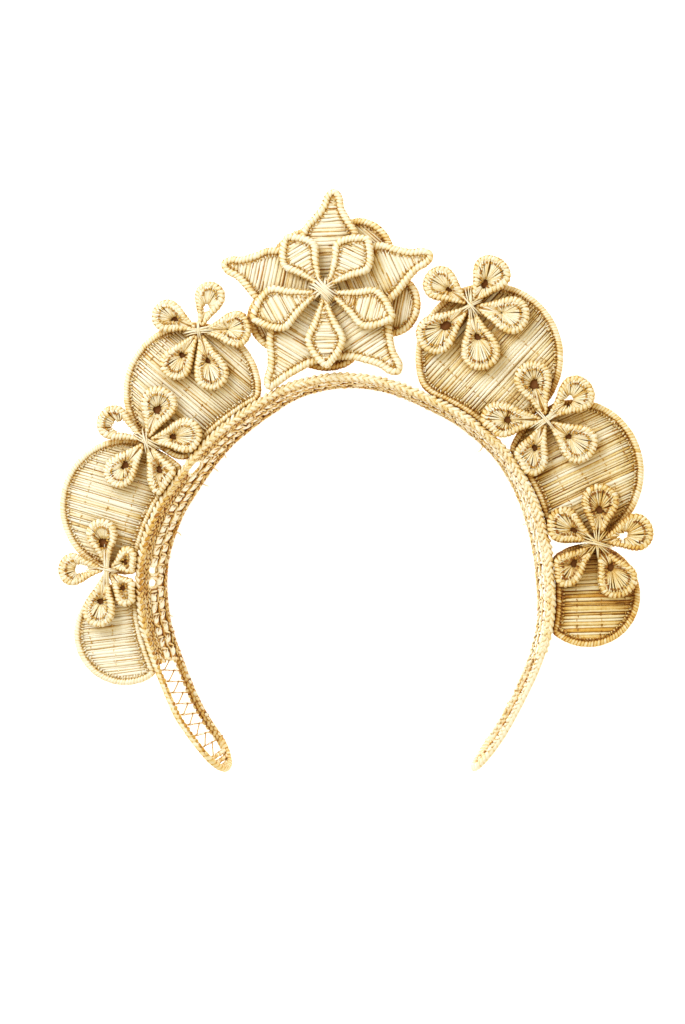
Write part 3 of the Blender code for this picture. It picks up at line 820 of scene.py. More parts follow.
def edge_stitches(work, path, inset, lift, pitch, size, tone, part=(0.0, 1.0)):
    """Stitches that bind a field to its cord, square to the cord. The back has half as many."""
    arc = loop_arc(path)
    count = int(arc[-1] / pitch)
    where = (np.arange(count) + work.random.uniform(-0.2, 0.2, count)) * arc[-1] / count % arc[-1]
    where = where[(where >= part[0] * arc[-1]) & (where <= part[1] * arc[-1])]
    count = len(where)
    spots = along_loop(path, arc, where)
    inner = unit(along_loop(ring_sides(path), arc, where))
    lean = inner + np.cross(UP, inner) * work.random.normal(0.12, 0.22, (count, 1))
    inner_lean = unit(lean * np.array([1.0, 1.0, 0.0]))
    for face in (1.0, -1.0):
        centres = spots + inner * (inset + work.random.uniform(-0.1, 0.15, (count, 1)))
        centres[:, 2] += face * lift
        up = unit(UP * face + inner * 0.25)
        across = unit(np.cross(up, inner_lean))
        sizes = np.array(size) * work.random.uniform(0.85, 1.15, (count, 3))
        tones = tone + work.random.normal(0.0, 0.09, count)
        kept = slice(None) if face > 0.0 else slice(0, None, 2)
        work.stitches(centres[kept], inner_lean[kept], across[kept], up[kept], sizes[kept], tones[kept])


# Discs

def disc_outline(row):
    """The path of a disc's rim, cut off where its neighbours and the headband begin."""
    rows = {r[0]: r for r in DISCS}
    cx, cy, across, along, bounds = row[1:6]
    path = []
    for k in range(DISC_STATIONS):
        a = 2.0 * math.pi * (k + 0.5) / DISC_STATIONS
        direction = np.array([math.cos(a), math.sin(a)])
        reach = 1.0 / math.hypot(direction[0] / across, direction[1] / along) - DISC_RIM_R
        for other in bounds:
            line = np.array([rows[other][1] - cx, rows[other][2] - cy])
            apart = np.linalg.norm(line)
            line /= apart
            mine, theirs = 0.5 * (across + along), 0.5 * (rows[other][3] + rows[other][4])
            limit = (apart * apart + mine * mine - theirs * theirs) / (2.0 * apart) - DISC_RIM_R - 0.5 * GAP
            facing = float(np.dot(direction, line))
            if facing > 0.05:
                reach = min(reach, limit / facing)
        xy = BAND.push_out(np.array([cx, cy]) + direction * reach, EDGE_R + DISC_RIM_R + GAP - 0.4)
        path.append([xy[0], xy[1], DISC_Z])
    return smooth_closed(path, 8)


def weave_disc(row, seed):
    name, angle, pale = row[0], row[6], row[7]
    work = Work(seed, pale)
    path = disc_outline(row)
    side = ring_sides(path)
    work.cord(path, np.full(len(path), DISC_RIM_R + 0.10), side, DISC_WRAPS, sides=8)
    inner = (path + side * 0.5)[:, :2]
    lay_field(work, inner, angle, DISC_Z, 0.42, 1.12 if row[1] > 0.0 else 0.98, rows=9.0)
    for row_of_stitches in DISC_STITCHES:
        edge_stitches(work, path, *row_of_stitches)
    work.finish(f"woven_disc_{name}", "palm_field", FIELD_FINISH, f"disc_{name}")


# Petals

def petal_shape(centre, shape, row, limits, cord_r, z, clearance):
    """The petal's cord path, its radii and a function that places a point along and across it."""
    angle, length, width = row[:3]
    rise, roll = (row[5], row[6]) if len(row) > 4 else (0.0, 0.0)
    axis, side = heading(angle)
    reach = length - cord_r
    half = 0.5 * width - cord_r
    start = PETAL_BASE

    def thick(u):
        t = min(max((u - start) / (0.40 * (reach - start)), 0.0), 1.0)
        return cord_r * (0.60 + 0.40 * t * t * (3.0 - 2.0 * t))

    def limited(u, v):
        bound = math.tan(0.5 * math.radians(limits[0] if v > 0 else limits[1]))
        free = u * bound - (0.5 * GAP + thick(u)) * math.sqrt(1.0 + bound * bound)
        return math.copysign(min(abs(v), max(free, 0.62 * thick(u))), v)

    def place(u, v):
        xy = np.array(centre) + axis * u + side * v
        if clearance:
            xy = BAND.push_out(xy, clearance)
        tilt = rise * (u / reach) ** 2 + abs(roll) * 0.5 * min(u / reach * 1.4, 1.0) * (
            1.0 + math.copysign(1.0, roll) * v / max(half, 0.1)
        )
        return [xy[0], xy[1], z + tilt]

    rows = [(start + share * (reach - start), wide) for share, wide in shape]
    path = [place(start - 0.9, 0.0)]
    radii = [thick(start)]
    path += [place(u, limited(u, -wide * half)) for u, wide in rows]
    radii += [thick(u) for u, wide in rows]
    path.append(place(reach, 0.0))
    radii.append(thick(reach))
    path += [place(u, limited(u, wide * half)) for u, wide in reversed(rows)]
    radii += [thick(u) for u, wide in reversed(rows)]
    dense = smooth_closed(np.column_stack([path, radii]), 8)
    return dense[:, :3], dense[:, 3], place, (start, reach)


def petal_limits(rows, n):
    """Angles in degrees from a petal to the petals on its left and right."""
    order = sorted(range(len(rows)), key=lambda i: rows[i][0] % 360)
    spot = order.index(n)
    ahead = rows[order[(spot + 1) % len(order)]][0]
    behind = rows[order[spot - 1]][0]
    return (ahead - rows[n][0]) % 360, (rows[n][0] - behind) % 360


def lay_rays(work, path, radii, eye, reach, count):
    """Fibres that run in from the cord all round to the edge of the eye, half as many behind."""
    arc = loop_arc(path)
    for face, count in ((1.0, count), (-1.0, count // 2)):
        where = (np.arange(count) + 0.5 + work.random.uniform(-0.25, 0.25, count)) / count
        where = arc[-1] * (0.03 + 0.94 * where)
        spots = along_loop(path, arc, where)
        bulk = np.interp(where, arc[:-1], radii) / radii.max()
        away = spots - eye
        away[:, 2] = 0.0
        gap = np.linalg.norm(away, axis=1)
        direction = away / gap[:, None]
        stop = reach(direction) * work.random.uniform(0.72, 1.12, count)
        keep = gap > stop + 0.5
        spots, direction, bulk, stop = spots[keep], direction[keep], bulk[keep], stop[keep]
        ends = eye + direction * stop[:, None]
        share = np.linspace(0.0, 1.0, 5)[None, :, None]
        lines = spots[:, None] * (1.0 - share) + ends[:, None] * share
        arch = np.array([1.10, 1.12, 0.80, 0.50, 0.12]) * bulk[:, None] ** 2 * face
        lines[..., 2] += arch + work.random.normal(0.0, 0.07, (len(spots), 1))
        swing = np.cross(UP, direction)[:, None] * work.random.normal(0.0, 0.16, (len(spots), 1, 1))
        lines = lines + swing * np.sin(np.pi * share)
        width = work.random.uniform(0.32, 0.50, (len(spots), 1)) * np.array([1.0, 1.0, 0.86, 0.72, 0.55])
        side = np.broadcast_to(np.cross(UP, -direction)[:, None], lines.shape)
        tones = 0.73 + work.random.normal(0.0, 0.11, (len(spots), 1)) - 0.16 * share[..., 0]
        work.sweep(lines, side, width, 0.26, 6, tones)


def lay_web(work, path, eye, reach):
    """The closed backing of the rays, from the cord in to the edge of the eye; its darker tone is painted
    shade where it shows between them.
    """
    away = path - eye
    away[:, 2] = 0.0
    far = np.linalg.norm(away, axis=1)
    direction = unit(away)
    inner = eye + direction * np.minimum(reach(direction) * 1.06, far)[:, None]
    points = np.stack([path + UP * 0.22, inner + UP * 0.16, inner - UP * 0.16, path - UP * 0.22], axis=1)
    index = np.arange(points.shape[0] * 4).reshape(1, -1, 4)
    work.add(points, between(index, True), 0.50 + work.pale, 0.20, 0.0)


def wrap_small_petal(name, n, centre, rows, seed, pale):
    row = rows[n]
    work = Work(seed, pale)
    limits = petal_limits(rows, n)
    path, radii, place, (start, reach) = petal_shape(
        centre, ROUND_PETAL, row, limits, FLOWER_CORD_R, FLOWER_Z, EDGE_R + FLOWER_CORD_R
    )
    side = ring_sides(path)
    work.cord(path - side * 0.22, radii - 0.26, side, SMALL_PETAL_WRAPS)
    eye = np.array(place(start + row[3] * (reach - start), 0.0))
    axis = unit(eye - np.array(place(start, 0.0)))
    axis[2] = 0.0
    size = row[4] if row[4] > 0.0 else 0.45
    open_eye = (name, n + 1) in OPEN_EYES
    uneven = work.random.uniform(0.0, 2.0 * math.pi, 2)

    def eye_edge(direction):
        """The eye is uneven, and drawn out towards the flower's middle."""
        inwards = np.clip(-(direction @ axis), 0.0, 1.0)
        turn = np.arctan2(direction[:, 1], direction[:, 0])
        wobble = 0.13 * np.sin(2.0 * turn + uneven[0]) + 0.10 * np.sin(3.0 * turn + uneven[1])
        return size * (0.92 + (0.60 if open_eye else 0.50) * inwards ** 1.5 + wobble)

    lay_web(work, path, eye, eye_edge)
    # A closed eye gets a dark sheet behind it: painted shade between the petal and the disc below.
    if not open_eye:
        work.sheet(path[::2, :2], eye[2] - 0.95, 0.20, -0.45, 0.40)
    lay_rays(work, path, radii, eye, eye_edge, 42)
    part = (0.30, 0.70) if open_eye else (0.14, 0.86)
    # The dark dots inside and outside the cord are painted shade of the gaps between its wraps.
    edge_stitches(work, path, 1.50, 1.40, 1.42, (0.98, 0.70, 0.52), 0.04, part)
    edge_stitches(work, path, -1.06, 1.02, 1.42, (0.84, 0.60, 0.50), 0.08, (0.14, 0.86))
    work.finish(
        f"wrapped_petal_{name}_{n + 1}", "palm_wrap", WRAP_FINISH, f"flower_{name}_petal_{n + 1}"
    )


def wrap_large_petal(kind, n, rows, shape, cord_r, z, clearance, seed, pale):
    work = Work(seed, pale)
    row = rows[n]
    path, radii, _, _ = petal_shape(CENTRE, shape, row[:3], petal_limits(rows, n), cord_r, z, clearance)
    side = ring_sides(path)
    work.cord(path, radii, side, LARGE_PETAL_WRAPS)
    lay_field(work, (path + side * 0.5)[:, :2], row[3], z, 0.34, 1.08, tone=0.67, gap_shade_share=0.60)
    for inset, *stitch in LARGE_PETAL_STITCHES:
        edge_stitches(work, path, cord_r + inset, *stitch)
    # Dark dots outside the cord: painted shade of the gaps between its wraps.
    edge_stitches(work, path, -cord_r + 0.45, 0.92, 1.62, (0.70, 0.46, 0.40), 0.20)
    work.finish(f"{kind}_petal_wrapped_{n + 1}", "palm_wrap", WRAP_FINISH, f"{kind}_petal_{n + 1}")


# Star

def star_outline():
    """The star's corners: up and down each point, then the valley after it."""
    path = []
    for i, (angle, reach, valley, _) in enumerate(STAR_POINTS):
        following = STAR_POINTS[(i + 1) % len(STAR_POINTS)]
        axis, side = heading(angle)
        inner = reach - STAR_CORD_R
        for share, half in STAR_POINT_WIDTHS:
            path.append(np.array(CENTRE) + axis * share * inner - side * (half - STAR_CORD_R))
        path.append(np.array(CENTRE) + axis * inner)
        for share, half in reversed(STAR_POINT_WIDTHS):
            path.append(np.array(CENTRE) + axis * share * inner + side * (half - STAR_CORD_R))
        between_points = heading(angle + 0.5 * ((following[0] - angle) % 360))[0]
        path.append(np.array(CENTRE) + (valley - STAR_CORD_R) * between_points)
    path = [BAND.push_out(p, EDGE_R + STAR_CORD_R + GAP) for p in path]
    return np.array([[p[0], p[1], STAR_Z] for p in path])


def weave_star(seed):
    work = Work(seed, 0.07)
    corners = star_outline()
    steps = 8
    path = smooth_closed(corners, steps)
    side = ring_sides(path)
    work.cord(path, np.full(len(path), STAR_CORD_R), side, STAR_WRAPS)
    inner = (path + side * 0.5)[:, :2]
    per_point = 2 * len(STAR_POINT_WIDTHS) + 2
    for i, point in enumerate(STAR_POINTS):
        first = (i * per_point - 1) * steps
        last = (i * per_point + per_point - 1) * steps
        part = [inner[k % len(inner)] for k in range(first, last + 1)] + [np.array(CENTRE)]
        lay_field(work, np.array(part), point[3], STAR_Z, 0.40, 1.14, tone=0.67, gap_shade_share=0.60)
    for inset, *stitch in STAR_STITCHES:
        edge_stitches(work, path, STAR_CORD_R + inset, *stitch)
    # Dark dots outside the cord: painted shade of the gaps between its wraps.
    edge_stitches(work, path, -STAR_CORD_R + 0.45, 0.95, 1.66, (0.70, 0.46, 0.40), 0.20)
    work.finish("woven_star", "palm_wrap", WRAP_FINISH, "star")


# Ties

def tie_knot(name, node, centre, bundles, top, drop, thick, seed, pale):
    """Bundles of pale strands over a flower's middle, each tucked down between the petals."""
    work = Work(seed, pale)
    share = np.linspace(-1.0, 1.0, 11)
    for layer, (angle, count, spread, half) in enumerate(bundles):
        for k in range(count):
            a = math.radians(angle + work.random.normal(0.0, 0.35 * spread))
            along = np.array([math.cos(a), math.sin(a), 0.0])
            across = np.cross(UP, along)
            aside = (k - 0.5 * (count - 1)) * thick * 1.25 + work.random.normal(0.0, 0.12)
            length = half * work.random.uniform(0.82, 1.12)
            path = np.array([*centre, top]) + along * (share * length)[:, None]
            path += across * (aside * (0.72 + 0.5 * share ** 2))[:, None]
            lift = 0.34 * layer + work.random.uniform(-0.12, 0.14) - 0.05 * aside ** 2
            path[:, 2] += lift - drop * np.abs(share) ** 3.0
            wide = thick * (0.62 - 0.22 * np.abs(share) ** 4)
            side = np.broadcast_to(-across, path.shape)
            tone = 0.66 + work.random.normal(0.0, 0.10)
            work.sweep(path[None], side[None], wide[None], 0.30, 6, tone)
    work.finish(name, "palm_tie", TIE_FINISH, node)


# Headband

def rim_stops():
    """Where the rim's cord runs, all round: place along the band and place across it."""
    bend = np.radians(np.linspace(-90.0, 90.0, 25))[1:-1]
    tip, across = END_LENGTH * (1.0 - np.cos(bend)), 0.5 - 0.5 * np.sin(bend)
    run = np.arange(END_LENGTH, BAND.length - END_LENGTH, 1.2)
    left = np.stack([tip, across], axis=1)
    right = np.stack([BAND.length - tip, across], axis=1)
    front = np.stack([run, 0.0 * run], axis=1)
    back = np.stack([run, 0.0 * run + 1.0], axis=1)
    return np.vstack([left, front, right[::-1], back[::-1]])


def wrap_band_rim(seed):
    """The wrapped cord round the whole edge of the headband, and its stitches."""
    work = Work(seed, -0.02)
    s, across = rim_stops().T
    radii = EDGE_R + (BACK_EDGE_R - EDGE_R) * across
    # Painted light and shade on the rim: the back edge darker as if in shade, fading out towards the right,
    # and the right leg paler as if lit.
    lit = np.clip((s / BAND.length - 0.6) * 8.0, 0.0, 1.0)
    shade = -0.02 - 0.16 * across * (1.0 - lit) + 0.20 * (s > BAND.length - PALE_LEG)
    wraps = (RIM_PITCH, 0.13, 0.60, shade, 0.07)
    work.cord(BAND.point(s, across), radii, -BAND.inward(s), wraps, low=0.002)
    chain_front_edge(work)
    overcast_back_edge(work)
    stitch_legs(work)
    mark_back_edge(work)
    work.finish("wrapped_band_rim", "palm_wrap", WRAP_FINISH, "band_rim")


def chain_front_edge(work):
    """Two rows of slanting stitches that meet like a plait on the front edge."""
    chain = np.arange(60.0, BAND.length - 52.0, 2.45)
    for row, (aside, lean) in enumerate(((0.62, 32.0), (-0.66, -32.0))):
        s = chain + 1.1 * row + work.random.normal(0.0, 0.14, len(chain))
        along = BAND.along(s, 0.0)
        out = -BAND.inward(s)
        turn = np.radians(lean + work.random.normal(0.0, 5.0, len(s)))[:, None]
        direction = along * np.cos(turn) + out * np.sin(turn)
        up = unit(UP + out * aside * 0.8)
        centres = BAND.point(s, 0.0) + out * aside + UP * 0.82
        sizes = np.column_stack([
            work.random.uniform(3.0, 3.7, len(s)),
            work.random.uniform(1.35, 1.7, len(s)),
            np.full(len(s), 1.25),
        ])
        # Painted shade on the left side: the inner row darker, the outer row a little paler.
        shaded = np.exp(-((s - 92.0) / 34.0) ** 4) * (0.42 if row else -0.10)
        tones = 0.60 - shaded + work.random.normal(0.0, 0.09, len(s))
        work.stitches(centres, direction, np.cross(up, direction), up, sizes, tones)


def overcast_back_edge(work):
    """Large uneven stitches over the back edge, on its inner and its outer side."""
    s = np.arange(12.0, BAND.length - 12.0, 2.5)
    for face in (1.0, -1.0):
        turn = np.radians(face * 70.0 + work.random.normal(0.0, 12.0, len(s)))[:, None]
        inwards = BAND.inward(s) * face
        direction = BAND.along(s, 1.0) * np.cos(turn) + UP * np.sin(turn)
        centres = BAND.point(s + work.random.normal(0.0, 0.25, len(s)), 0.965) + inwards * 1.15
        sizes = np.column_stack([
            work.random.uniform(2.4, 3.4, len(s)),
            work.random.uniform(1.3, 2.1, len(s)),
            work.random.uniform(1.0, 1.9, len(s)),
        ])
        # Painted light: paler after RIGHT_HALF and paler again along the right leg.
        tones = 0.56 + 0.18 * (s > RIGHT_HALF * BAND.length) + 0.20 * (s > BAND.length - PALE_LEG)
        tones = tones + work.random.normal(0.0, 0.15, len(s))
        work.stitches(centres, direction, np.cross(inwards, direction), inwards, sizes, tones)


def stitch_legs(work):
    """Rows of stitches inside the rim along both legs."""
    for on_right, pitch, across, size, tone in LEG_STITCHES:
        first, last = (BAND.length - 60.0, BAND.length - 9.0) if on_right else (9.0, 62.0)
        s = np.arange(first, last, pitch)
        inwards = BAND.inward(s)
        direction = unit(BAND.along(s, across) + inwards * work.random.normal(0.5, 0.2, (len(s), 1)))
        up = unit(UP * (1.0 - 2.0 * across) + inwards * 1.2)
        centres = BAND.point(s, across) + up * 1.25
        sizes = np.array(size) * work.random.uniform(0.8, 1.2, (len(s), 3))
        tones = tone + work.random.normal(0.0, 0.12, len(s))
        work.stitches(centres, direction, unit(np.cross(up, direction)), up, sizes, tones)


def mark_back_edge(work):
    """Thin upright stitches between those of the back edge, dark on the left as painted shade in the gaps,
    paler on the right as painted light.
    """
    s = np.arange(14.0, BAND.length - 14.0, 2.5) + 1.25
    for face in (1.0, -1.0):
        inwards = BAND.inward(s) * face
        centres = BAND.point(s, 0.97) + inwards * 1.35
        sizes = np.array([2.2, 0.6, 0.9]) * work.random.uniform(0.7, 1.2, (len(s), 3))
        direction = unit(UP + BAND.along(s, 1.0) * work.random.normal(0.0, 0.25, (len(s), 1)))
        tones = 0.02 + 0.54 * (s > RIGHT_HALF * BAND.length)
        work.stitches(centres, direction, unit(np.cross(inwards, direction)), inwards, sizes, tones)


def net_sheet(work, first, last):
    """The close backing of the net, a thin wall with its few windows left open."""
    low, high = (EDGE_R - 0.4) / NET_WIDTH, 1.0 - (BACK_EDGE_R - 0.4) / NET_WIDTH
    stops = set(np.round(np.linspace(first, last, 96), 3))
    for place, length, _, _ in SIDE_WINDOWS:
        stops = {s for s in stops if abs(s - place) > 0.5 * length + 0.6}
        stops |= {place - 0.5 * length, place + 0.5 * length}
    stops = sorted(stops)
    marks = []
    for stop in stops:
        nearest = min(SIDE_WINDOWS, key=lambda row: abs(row[0] - stop))
        marks.append([low, nearest[2], nearest[3], 0.5 * (nearest[3] + high), high])
    marks = np.array(marks)
    tall = marks.shape[1]
    s, w = np.broadcast_arrays(np.array(stops)[:, None], marks)
    inside = BAND.leaning(s, w, 0.35).reshape(-1, 3)
    outside = BAND.leaning(s, w, -0.35).reshape(-1, 3)
    total = len(inside)
    open_cells = set()
    for i in range(len(stops) - 1):
        middle = 0.5 * (stops[i] + stops[i + 1])
        if any(abs(middle - row[0]) < 0.5 * row[1] for row in SIDE_WINDOWS):
            open_cells.add((i, 1))
    faces = []
    for i in range(len(stops) - 1):
        for k in range(tall - 1):
            if (i, k) in open_cells:
                continue
            a, b, c, d = i * tall + k, (i + 1) * tall + k, (i + 1) * tall + k + 1, i * tall + k + 1
            faces.append((a, b, c, d))
            faces.append((total + d, total + c, total + b, total + a))
            edges = {(i - 1, k): (d, a), (i + 1, k): (b, c), (i, k - 1): (a, b), (i, k + 1): (c, d)}
            for beside, (p, q) in edges.items():
                edge_of_work = not (0 <= beside[0] < len(stops) - 1 and 0 <= beside[1] < tall - 1)
                if edge_of_work or beside in open_cells:
                    faces.append((q, p, total + p, total + q))
    work.add(np.concatenate([inside, outside]), np.array(faces), 0.30, 0.25, 0.0)


def on_band(work, s, w, lift, face, angle, sizes, tone):
    """Stitches on one face of the net, turned by an angle from the band's own direction."""
    centres = BAND.leaning(s, w, lift * face)
    along = unit(BAND.leaning(s + 0.5, w) - BAND.leaning(s - 0.5, w))
    across = unit(BAND.leaning(s, w + 0.02) - BAND.leaning(s, w - 0.02))
    up = BAND.inward(s) * face
    angle = np.radians(angle)[:, None]
    direction = along * np.cos(angle) + across * np.sin(angle)
    work.stitches(centres, direction, np.cross(up, direction), up, sizes, tone)


def in_window(s, w):
    """Which places of the net lie in one of its windows."""
    inside = np.zeros(len(s), dtype=bool)
    for place, length, low, high in SIDE_WINDOWS:
        inside |= (np.abs(s - place) < 0.5 * length + 0.6) & (w > low - 0.03) & (w < high + 0.03)
    return inside


def thread(work, s, w, lift, r, tone):
    """One thread of the net through places on the band."""
    path = BAND.leaning(np.asarray(s), np.asarray(w), np.asarray(lift))
    side = BAND.inward(np.asarray(s, dtype=float))
    work.sweep(path[None], side[None], r, r, 6, tone)


def knot_row(work, s, w_row, face, lift, lean, size, tone, varied):
    """A row of stitches along the band that lean one way, left out where a window is open."""
    s = s + work.random.normal(0.0, 0.16, len(s))
    w = np.full(len(s), w_row) + work.random.normal(0.0, 0.006, len(s))
    keep = ~in_window(s, w)
    s, w = s[keep], w[keep]
    sizes = np.array(size) * work.random.uniform(0.82, 1.18, (len(s), 3))
    angle = lean + work.random.normal(0.0, 9.0, len(s))
    # Painted light: the stitches grow paler towards the right side, as if lit.
    right = np.clip(s / BAND.length * 3.0 - 1.2, 0.0, 1.0)
    tone = tone + work.random.normal(0.0, varied, len(s)) + 0.24 * right
    on_band(work, s, w, lift, face, angle, sizes, tone)


def bind_window(work, place, length, low, high):
    """A ring of stitches that rounds off one of the windows on both faces."""
    turn = 2.0 * np.pi * np.arange(14) / 14.0
    a, b = 0.5 * length + 0.45, 0.5 * (high - low) * NET_WIDTH + 0.55
    s, w = place + a * np.cos(turn), 0.5 * (low + high) + b * np.sin(turn) / NET_WIDTH
    angle = np.degrees(np.arctan2(b * np.cos(turn), -a * np.sin(turn)))
    for face in (1.0, -1.0):
        sizes = np.array([3.2, 1.3, 0.9]) * work.random.uniform(0.9, 1.15, (14, 3))
        on_band(work, s, w, 0.25, face, angle, sizes, 0.62 + work.random.normal(0.0, 0.12, 14))


def weave_net(seed):
    """Close work over the top and the sides, open knotted threads near both ends."""
    work = Work(seed, 0.0)
    last = BAND.length - NET_TOP
    net_sheet(work, NET_TOP, last)
    close = np.arange(NET_TOP + 2.0, last - 1.0, NET_ROW)
    for face in (1.0, -1.0):
        for w_row, shift in CELL_ROWS:
            for ahead, below, *stitch in CELL_STITCHES:
                knot_row(work, close + shift + ahead, w_row + below, face, *stitch)
        dense = np.arange(NET_TOP - 1.0, last + 1.0, 1.95)
        for w_row, lean, tone in BRAID_ROWS:
            knot_row(work, dense, w_row, face, 0.60, lean, (2.8, 1.15, 1.1), tone, 0.12)
        dense = np.arange(NET_TOP - 1.0, last + 1.0, 1.3)
        knot_row(work, dense, 0.345, face, 0.80, 20.0, (1.7, 0.70, 0.8), 0.36, 0.10)
    for window in SIDE_WINDOWS:
        bind_window(work, *window)
    for end in (NET_TOP + 0.4, last - 0.4):
        w = np.linspace(0.08, 0.92, 12)
        for face in (1.0, -1.0):
            sizes = np.array([2.9, 1.6, 1.2]) * work.random.uniform(0.85, 1.15, (12, 3))
            angle = 80.0 + work.random.normal(0.0, 12.0, 12)
            tones = 0.52 + work.random.normal(0.0, 0.12, 12)
            on_band(work, end + 0.0 * w, w, 0.30, face, angle, sizes, tones)
    weave_ends(work)
    stray_ends(work)
    work.finish("knotted_band_net", "palm_net", NET_FINISH, "band_net")


def weave_ends(work):
    """The open net of both legs and the closed tips."""
    # The left leg's threads are dark as painted shade, the right leg's pale as painted light.
    for left, shade in ((True, 0.10), (False, 0.62)):
        def place(s):
            return s if left else BAND.length - s

        for k in range(NET_ROWS + 1):
            weave_leg_row(work, k, place, shade, slits=not left)
        for s in np.linspace(1.6, NET_FIRST - 0.6, 3):
            close_tip(work, s, place)


def tip_share(s):
    """Share of the band's full width that is left at a distance from its tip."""
    return math.sqrt(max(1.0 - max(1.0 - s / END_LENGTH, 0.0) ** 2, 0.0))


def weave_leg_row(work, k, place, shade, slits):
    """One level double thread of a leg's open net, and the slanting one that leads to the next."""
    s = NET_FIRST + NET_ROW * k
    half = 0.48 * tip_share(s)
    w = 0.5 + half * np.linspace(-1.0, 1.0, 9)
    sway = work.random.normal(0.0, 0.10, 9)
    thread(work, place(s + sway), w, 0.14 * np.sin(np.pi * np.arange(9)), 0.17, shade)
    thread(work, place(s + 0.34 - sway), w, -0.12 + 0.0 * w, 0.12, shade + 0.10)
    spots = np.array(LEG_MARKS)
    spot_s = place(s + 0.15) + 0.0 * spots
    sizes = np.array([[0.9, 0.7, 0.7], [0.9, 0.7, 0.7]])
    for face in (1.0, -1.0):
        on_band(work, spot_s, spots, 0.15, face, np.array([60.0, 60.0]), sizes, shade + 0.10)
    if slits:
        slit_s = place(np.array([s, s + 0.45 * NET_ROW]))
        sizes = np.array([[2.3, 2.4, 1.0], [1.3, 1.4, 0.8]])
        tones = np.array([0.06, 0.30])
        for face in (1.0, -1.0):
            on_band(work, slit_s, np.array([0.60, 0.36]), 0.20, face, np.array([20.0, -20.0]), sizes, tones)
    if k < NET_ROWS:
        share = np.linspace(0.0, 1.0, 7)
        low, high = 0.5 + (np.array(LEG_MARKS) - 0.5) * min(2.0 * half, 1.0)
        w = low + (high - low) * share
        thread(work, place(s + NET_ROW * share), w, 0.10 * np.sin(np.pi * share), 0.16, shade)
        thread(work, place(s + NET_ROW * share), w + 0.012, 0.22 + 0.0 * share, 0.12, shade + 0.10)


def close_tip(work, s, place):
    """One row of stitches that fills a tip between its rims."""
    half = 0.5 * tip_share(s) - 0.02
    count = max(int(half * NET_WIDTH), 1)
    w = 0.5 + np.linspace(-half, half, count + 2)[1:-1]
    sizes = np.tile([2.9, 1.5, 1.4], (count, 1))
    for face in (1.0, -1.0):
        angle = 70.0 + work.random.normal(0.0, 14.0, count)
        tones = 0.38 + work.random.normal(0.0, 0.15, count)
        on_band(work, place(s) + 0.0 * w, w, 0.12, face, angle, sizes, tones)


def stray_ends(work):
    """Cut ends of thread that stand a little off the back edge."""
    for s in STRAY_ENDS:
        start = BAND.point(s, 0.93, 1.2)
        lean = work.random.normal(0.0, 0.5, 3) * np.array([1.0, 1.0, 0.3])
        end = start + BAND.inward(s) * work.random.uniform(1.6, 3.0) + lean
        work.straws(start[None], end[None], 0.20, 0.16, 0.56, rings=5, bow=0.25)


# The whole tiara. Each piece has a number, which is the seed of its random draws.

wrap_band_rim(11)
weave_net(12)
for order, disc in enumerate(DISCS):
    weave_disc(disc, 20 + order)
for order, (name, x, y, pale, petals) in enumerate(FLOWERS):
    for n in range(len(petals)):
        wrap_small_petal(name, n, (x, y), petals, 100 + 10 * order + n, pale)
    strands, node, z = f"tie_strands_{name}", f"flower_{name}_tie", FLOWER_Z + 1.75
    tie_knot(strands, node, (x, y), TIES[name], z, 2.6, 0.46, 180 + order, pale)
clear = EDGE_R + BACK_CORD_R + GAP
for n in range(len(BACK_PETALS)):
    wrap_large_petal("back", n, BACK_PETALS, WIDE_PETAL, BACK_CORD_R, BACK_PETAL_Z, clear, 200 + n, -0.03)
weave_star(220)
for n in range(len(FRONT_PETALS)):
    wrap_large_petal("front", n, FRONT_PETALS, KITE_PETAL, FRONT_CORD_R, FRONT_PETAL_Z, 0.0, 230 + n, 0.08)
z = FRONT_PETAL_Z + 1.35
tie_knot("tie_strands_centre", "centre_tie", CENTRE, CENTRE_TIES, z, 2.4, 0.56, 240, 0.20)


# Floor, light and camera

def plain_finish(name, colour, roughness):
    """A plain matt surface with a faint unevenness."""
    finish = Finish(name)
    place = finish.node("ShaderNodeTexCoord", {}, {}, "Object")
    cloud = finish.noise(place, 6.0, 2.0)
    low = tuple(0.985 * c for c in colour)
    stops = [(0.3, low), (0.7, colour)]
    tint = finish.node("ShaderNodeValToRGB", {"stops": stops}, {"Fac": cloud}, "Color")
    finish.feed(finish.shader.inputs["Base Color"], tint)
    finish.feed(finish.shader.inputs["Roughness"], roughness + (cloud - 0.5) * 0.05)
    return finish.material


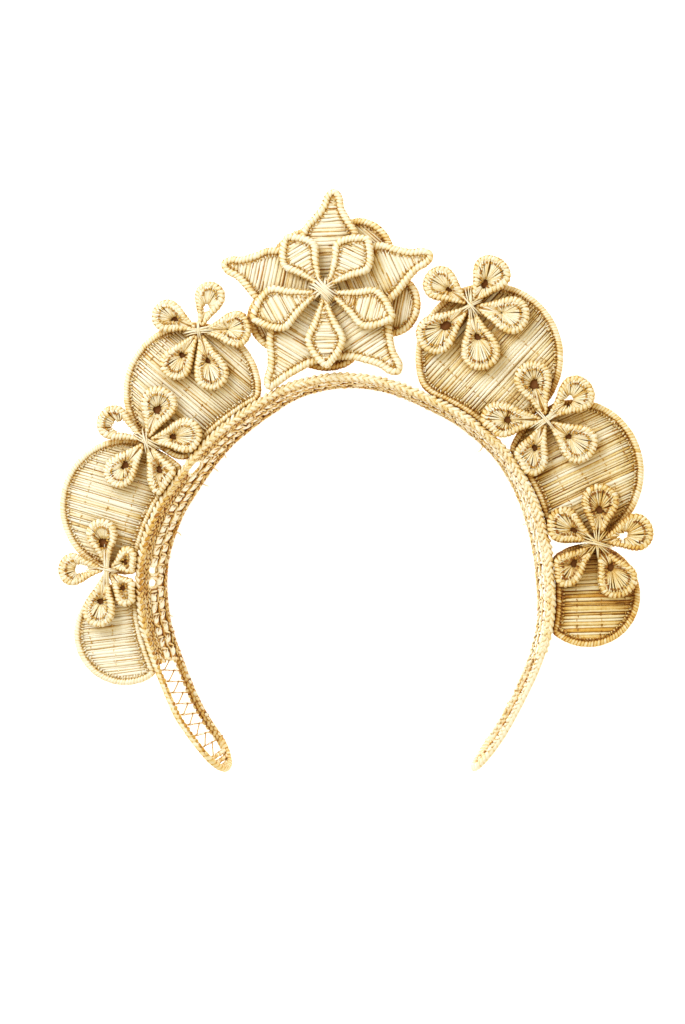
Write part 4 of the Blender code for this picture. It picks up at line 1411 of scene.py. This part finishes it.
def lay_floor():
    bpy.ops.object.select_all(action="DESELECT")
    bpy.ops.mesh.primitive_plane_add(size=40.0, location=(0.0, 0.0, -0.0002))
    floor = bpy.context.object
    floor.name = "floor"
    bpy.ops.object.transform_apply(location=True, rotation=True, scale=True)
    paper = plain_finish("pale paper", (0.93, 0.93, 0.93), 0.7)
    # The paper also glows: it stays evenly white, hides the shadows cast on it and lights the work softly
    # from below.
    glow = paper.node_tree.nodes["Principled BSDF"].inputs
    glow["Emission Color"].default_value = (1.0, 1.0, 1.0, 1.0)
    glow["Emission Strength"].default_value = 0.80
    floor.data.materials.append(paper)


def add_light(name, place, target, size, power, colour):
    """A square soft light that faces its target."""
    data = bpy.data.lights.new(name, "AREA")
    data.shape = "SQUARE"
    data.size = size
    data.energy = power
    data.color = colour
    light = bpy.data.objects.new(name, data)
    bpy.context.scene.collection.objects.link(light)
    light.location = place
    aim(light, target)
    return light


def aim(thing, target):
    thing.rotation_euler = (Vector(target) - thing.location).to_track_quat("-Z", "Y").to_euler()


def light_room():
    world = bpy.data.worlds.new("studio")
    world.use_nodes = True
    background = world.node_tree.nodes["Background"]
    background.inputs["Color"].default_value = (0.97, 0.82, 0.50, 1.0)
    background.inputs["Strength"].default_value = 0.76
    bpy.context.scene.world = world
    add_light("key", (-0.55, 0.65, 0.75), (0.0, 0.03, 0.02), 0.6, 9.8, (0.84, 0.94, 1.0))
    add_light("fill", (0.7, -0.5, 0.9), (0.0, 0.0, 0.02), 0.9, 2.4, (1.0, 0.90, 0.70))


def set_camera():
    """Camera at the photograph's angle, with the picture's height along the sensor's long side."""
    turn = math.radians(CAMERA_TURN)
    target = np.array([SHIFT[0], SHIFT[1], FRONT_Z]) * MM
    away = np.array([math.sin(turn), 0.0, math.cos(turn)]) * CAMERA_AWAY * MM
    data = bpy.data.cameras.new("camera")
    data.sensor_fit = "VERTICAL"
    data.sensor_height = SENSOR
    data.lens = SENSOR * CAMERA_AWAY / (PHOTO_HEIGHT * MM_PER_PIXEL)
    data.clip_start = 0.01
    camera = bpy.data.objects.new("camera", data)
    bpy.context.scene.collection.objects.link(camera)
    camera.location = target + away
    camera.rotation_euler = (0.0, turn, 0.0)
    bpy.context.scene.camera = camera


lay_floor()
light_room()
set_camera()
bpy.context.scene.view_settings.view_transform = "Standard"
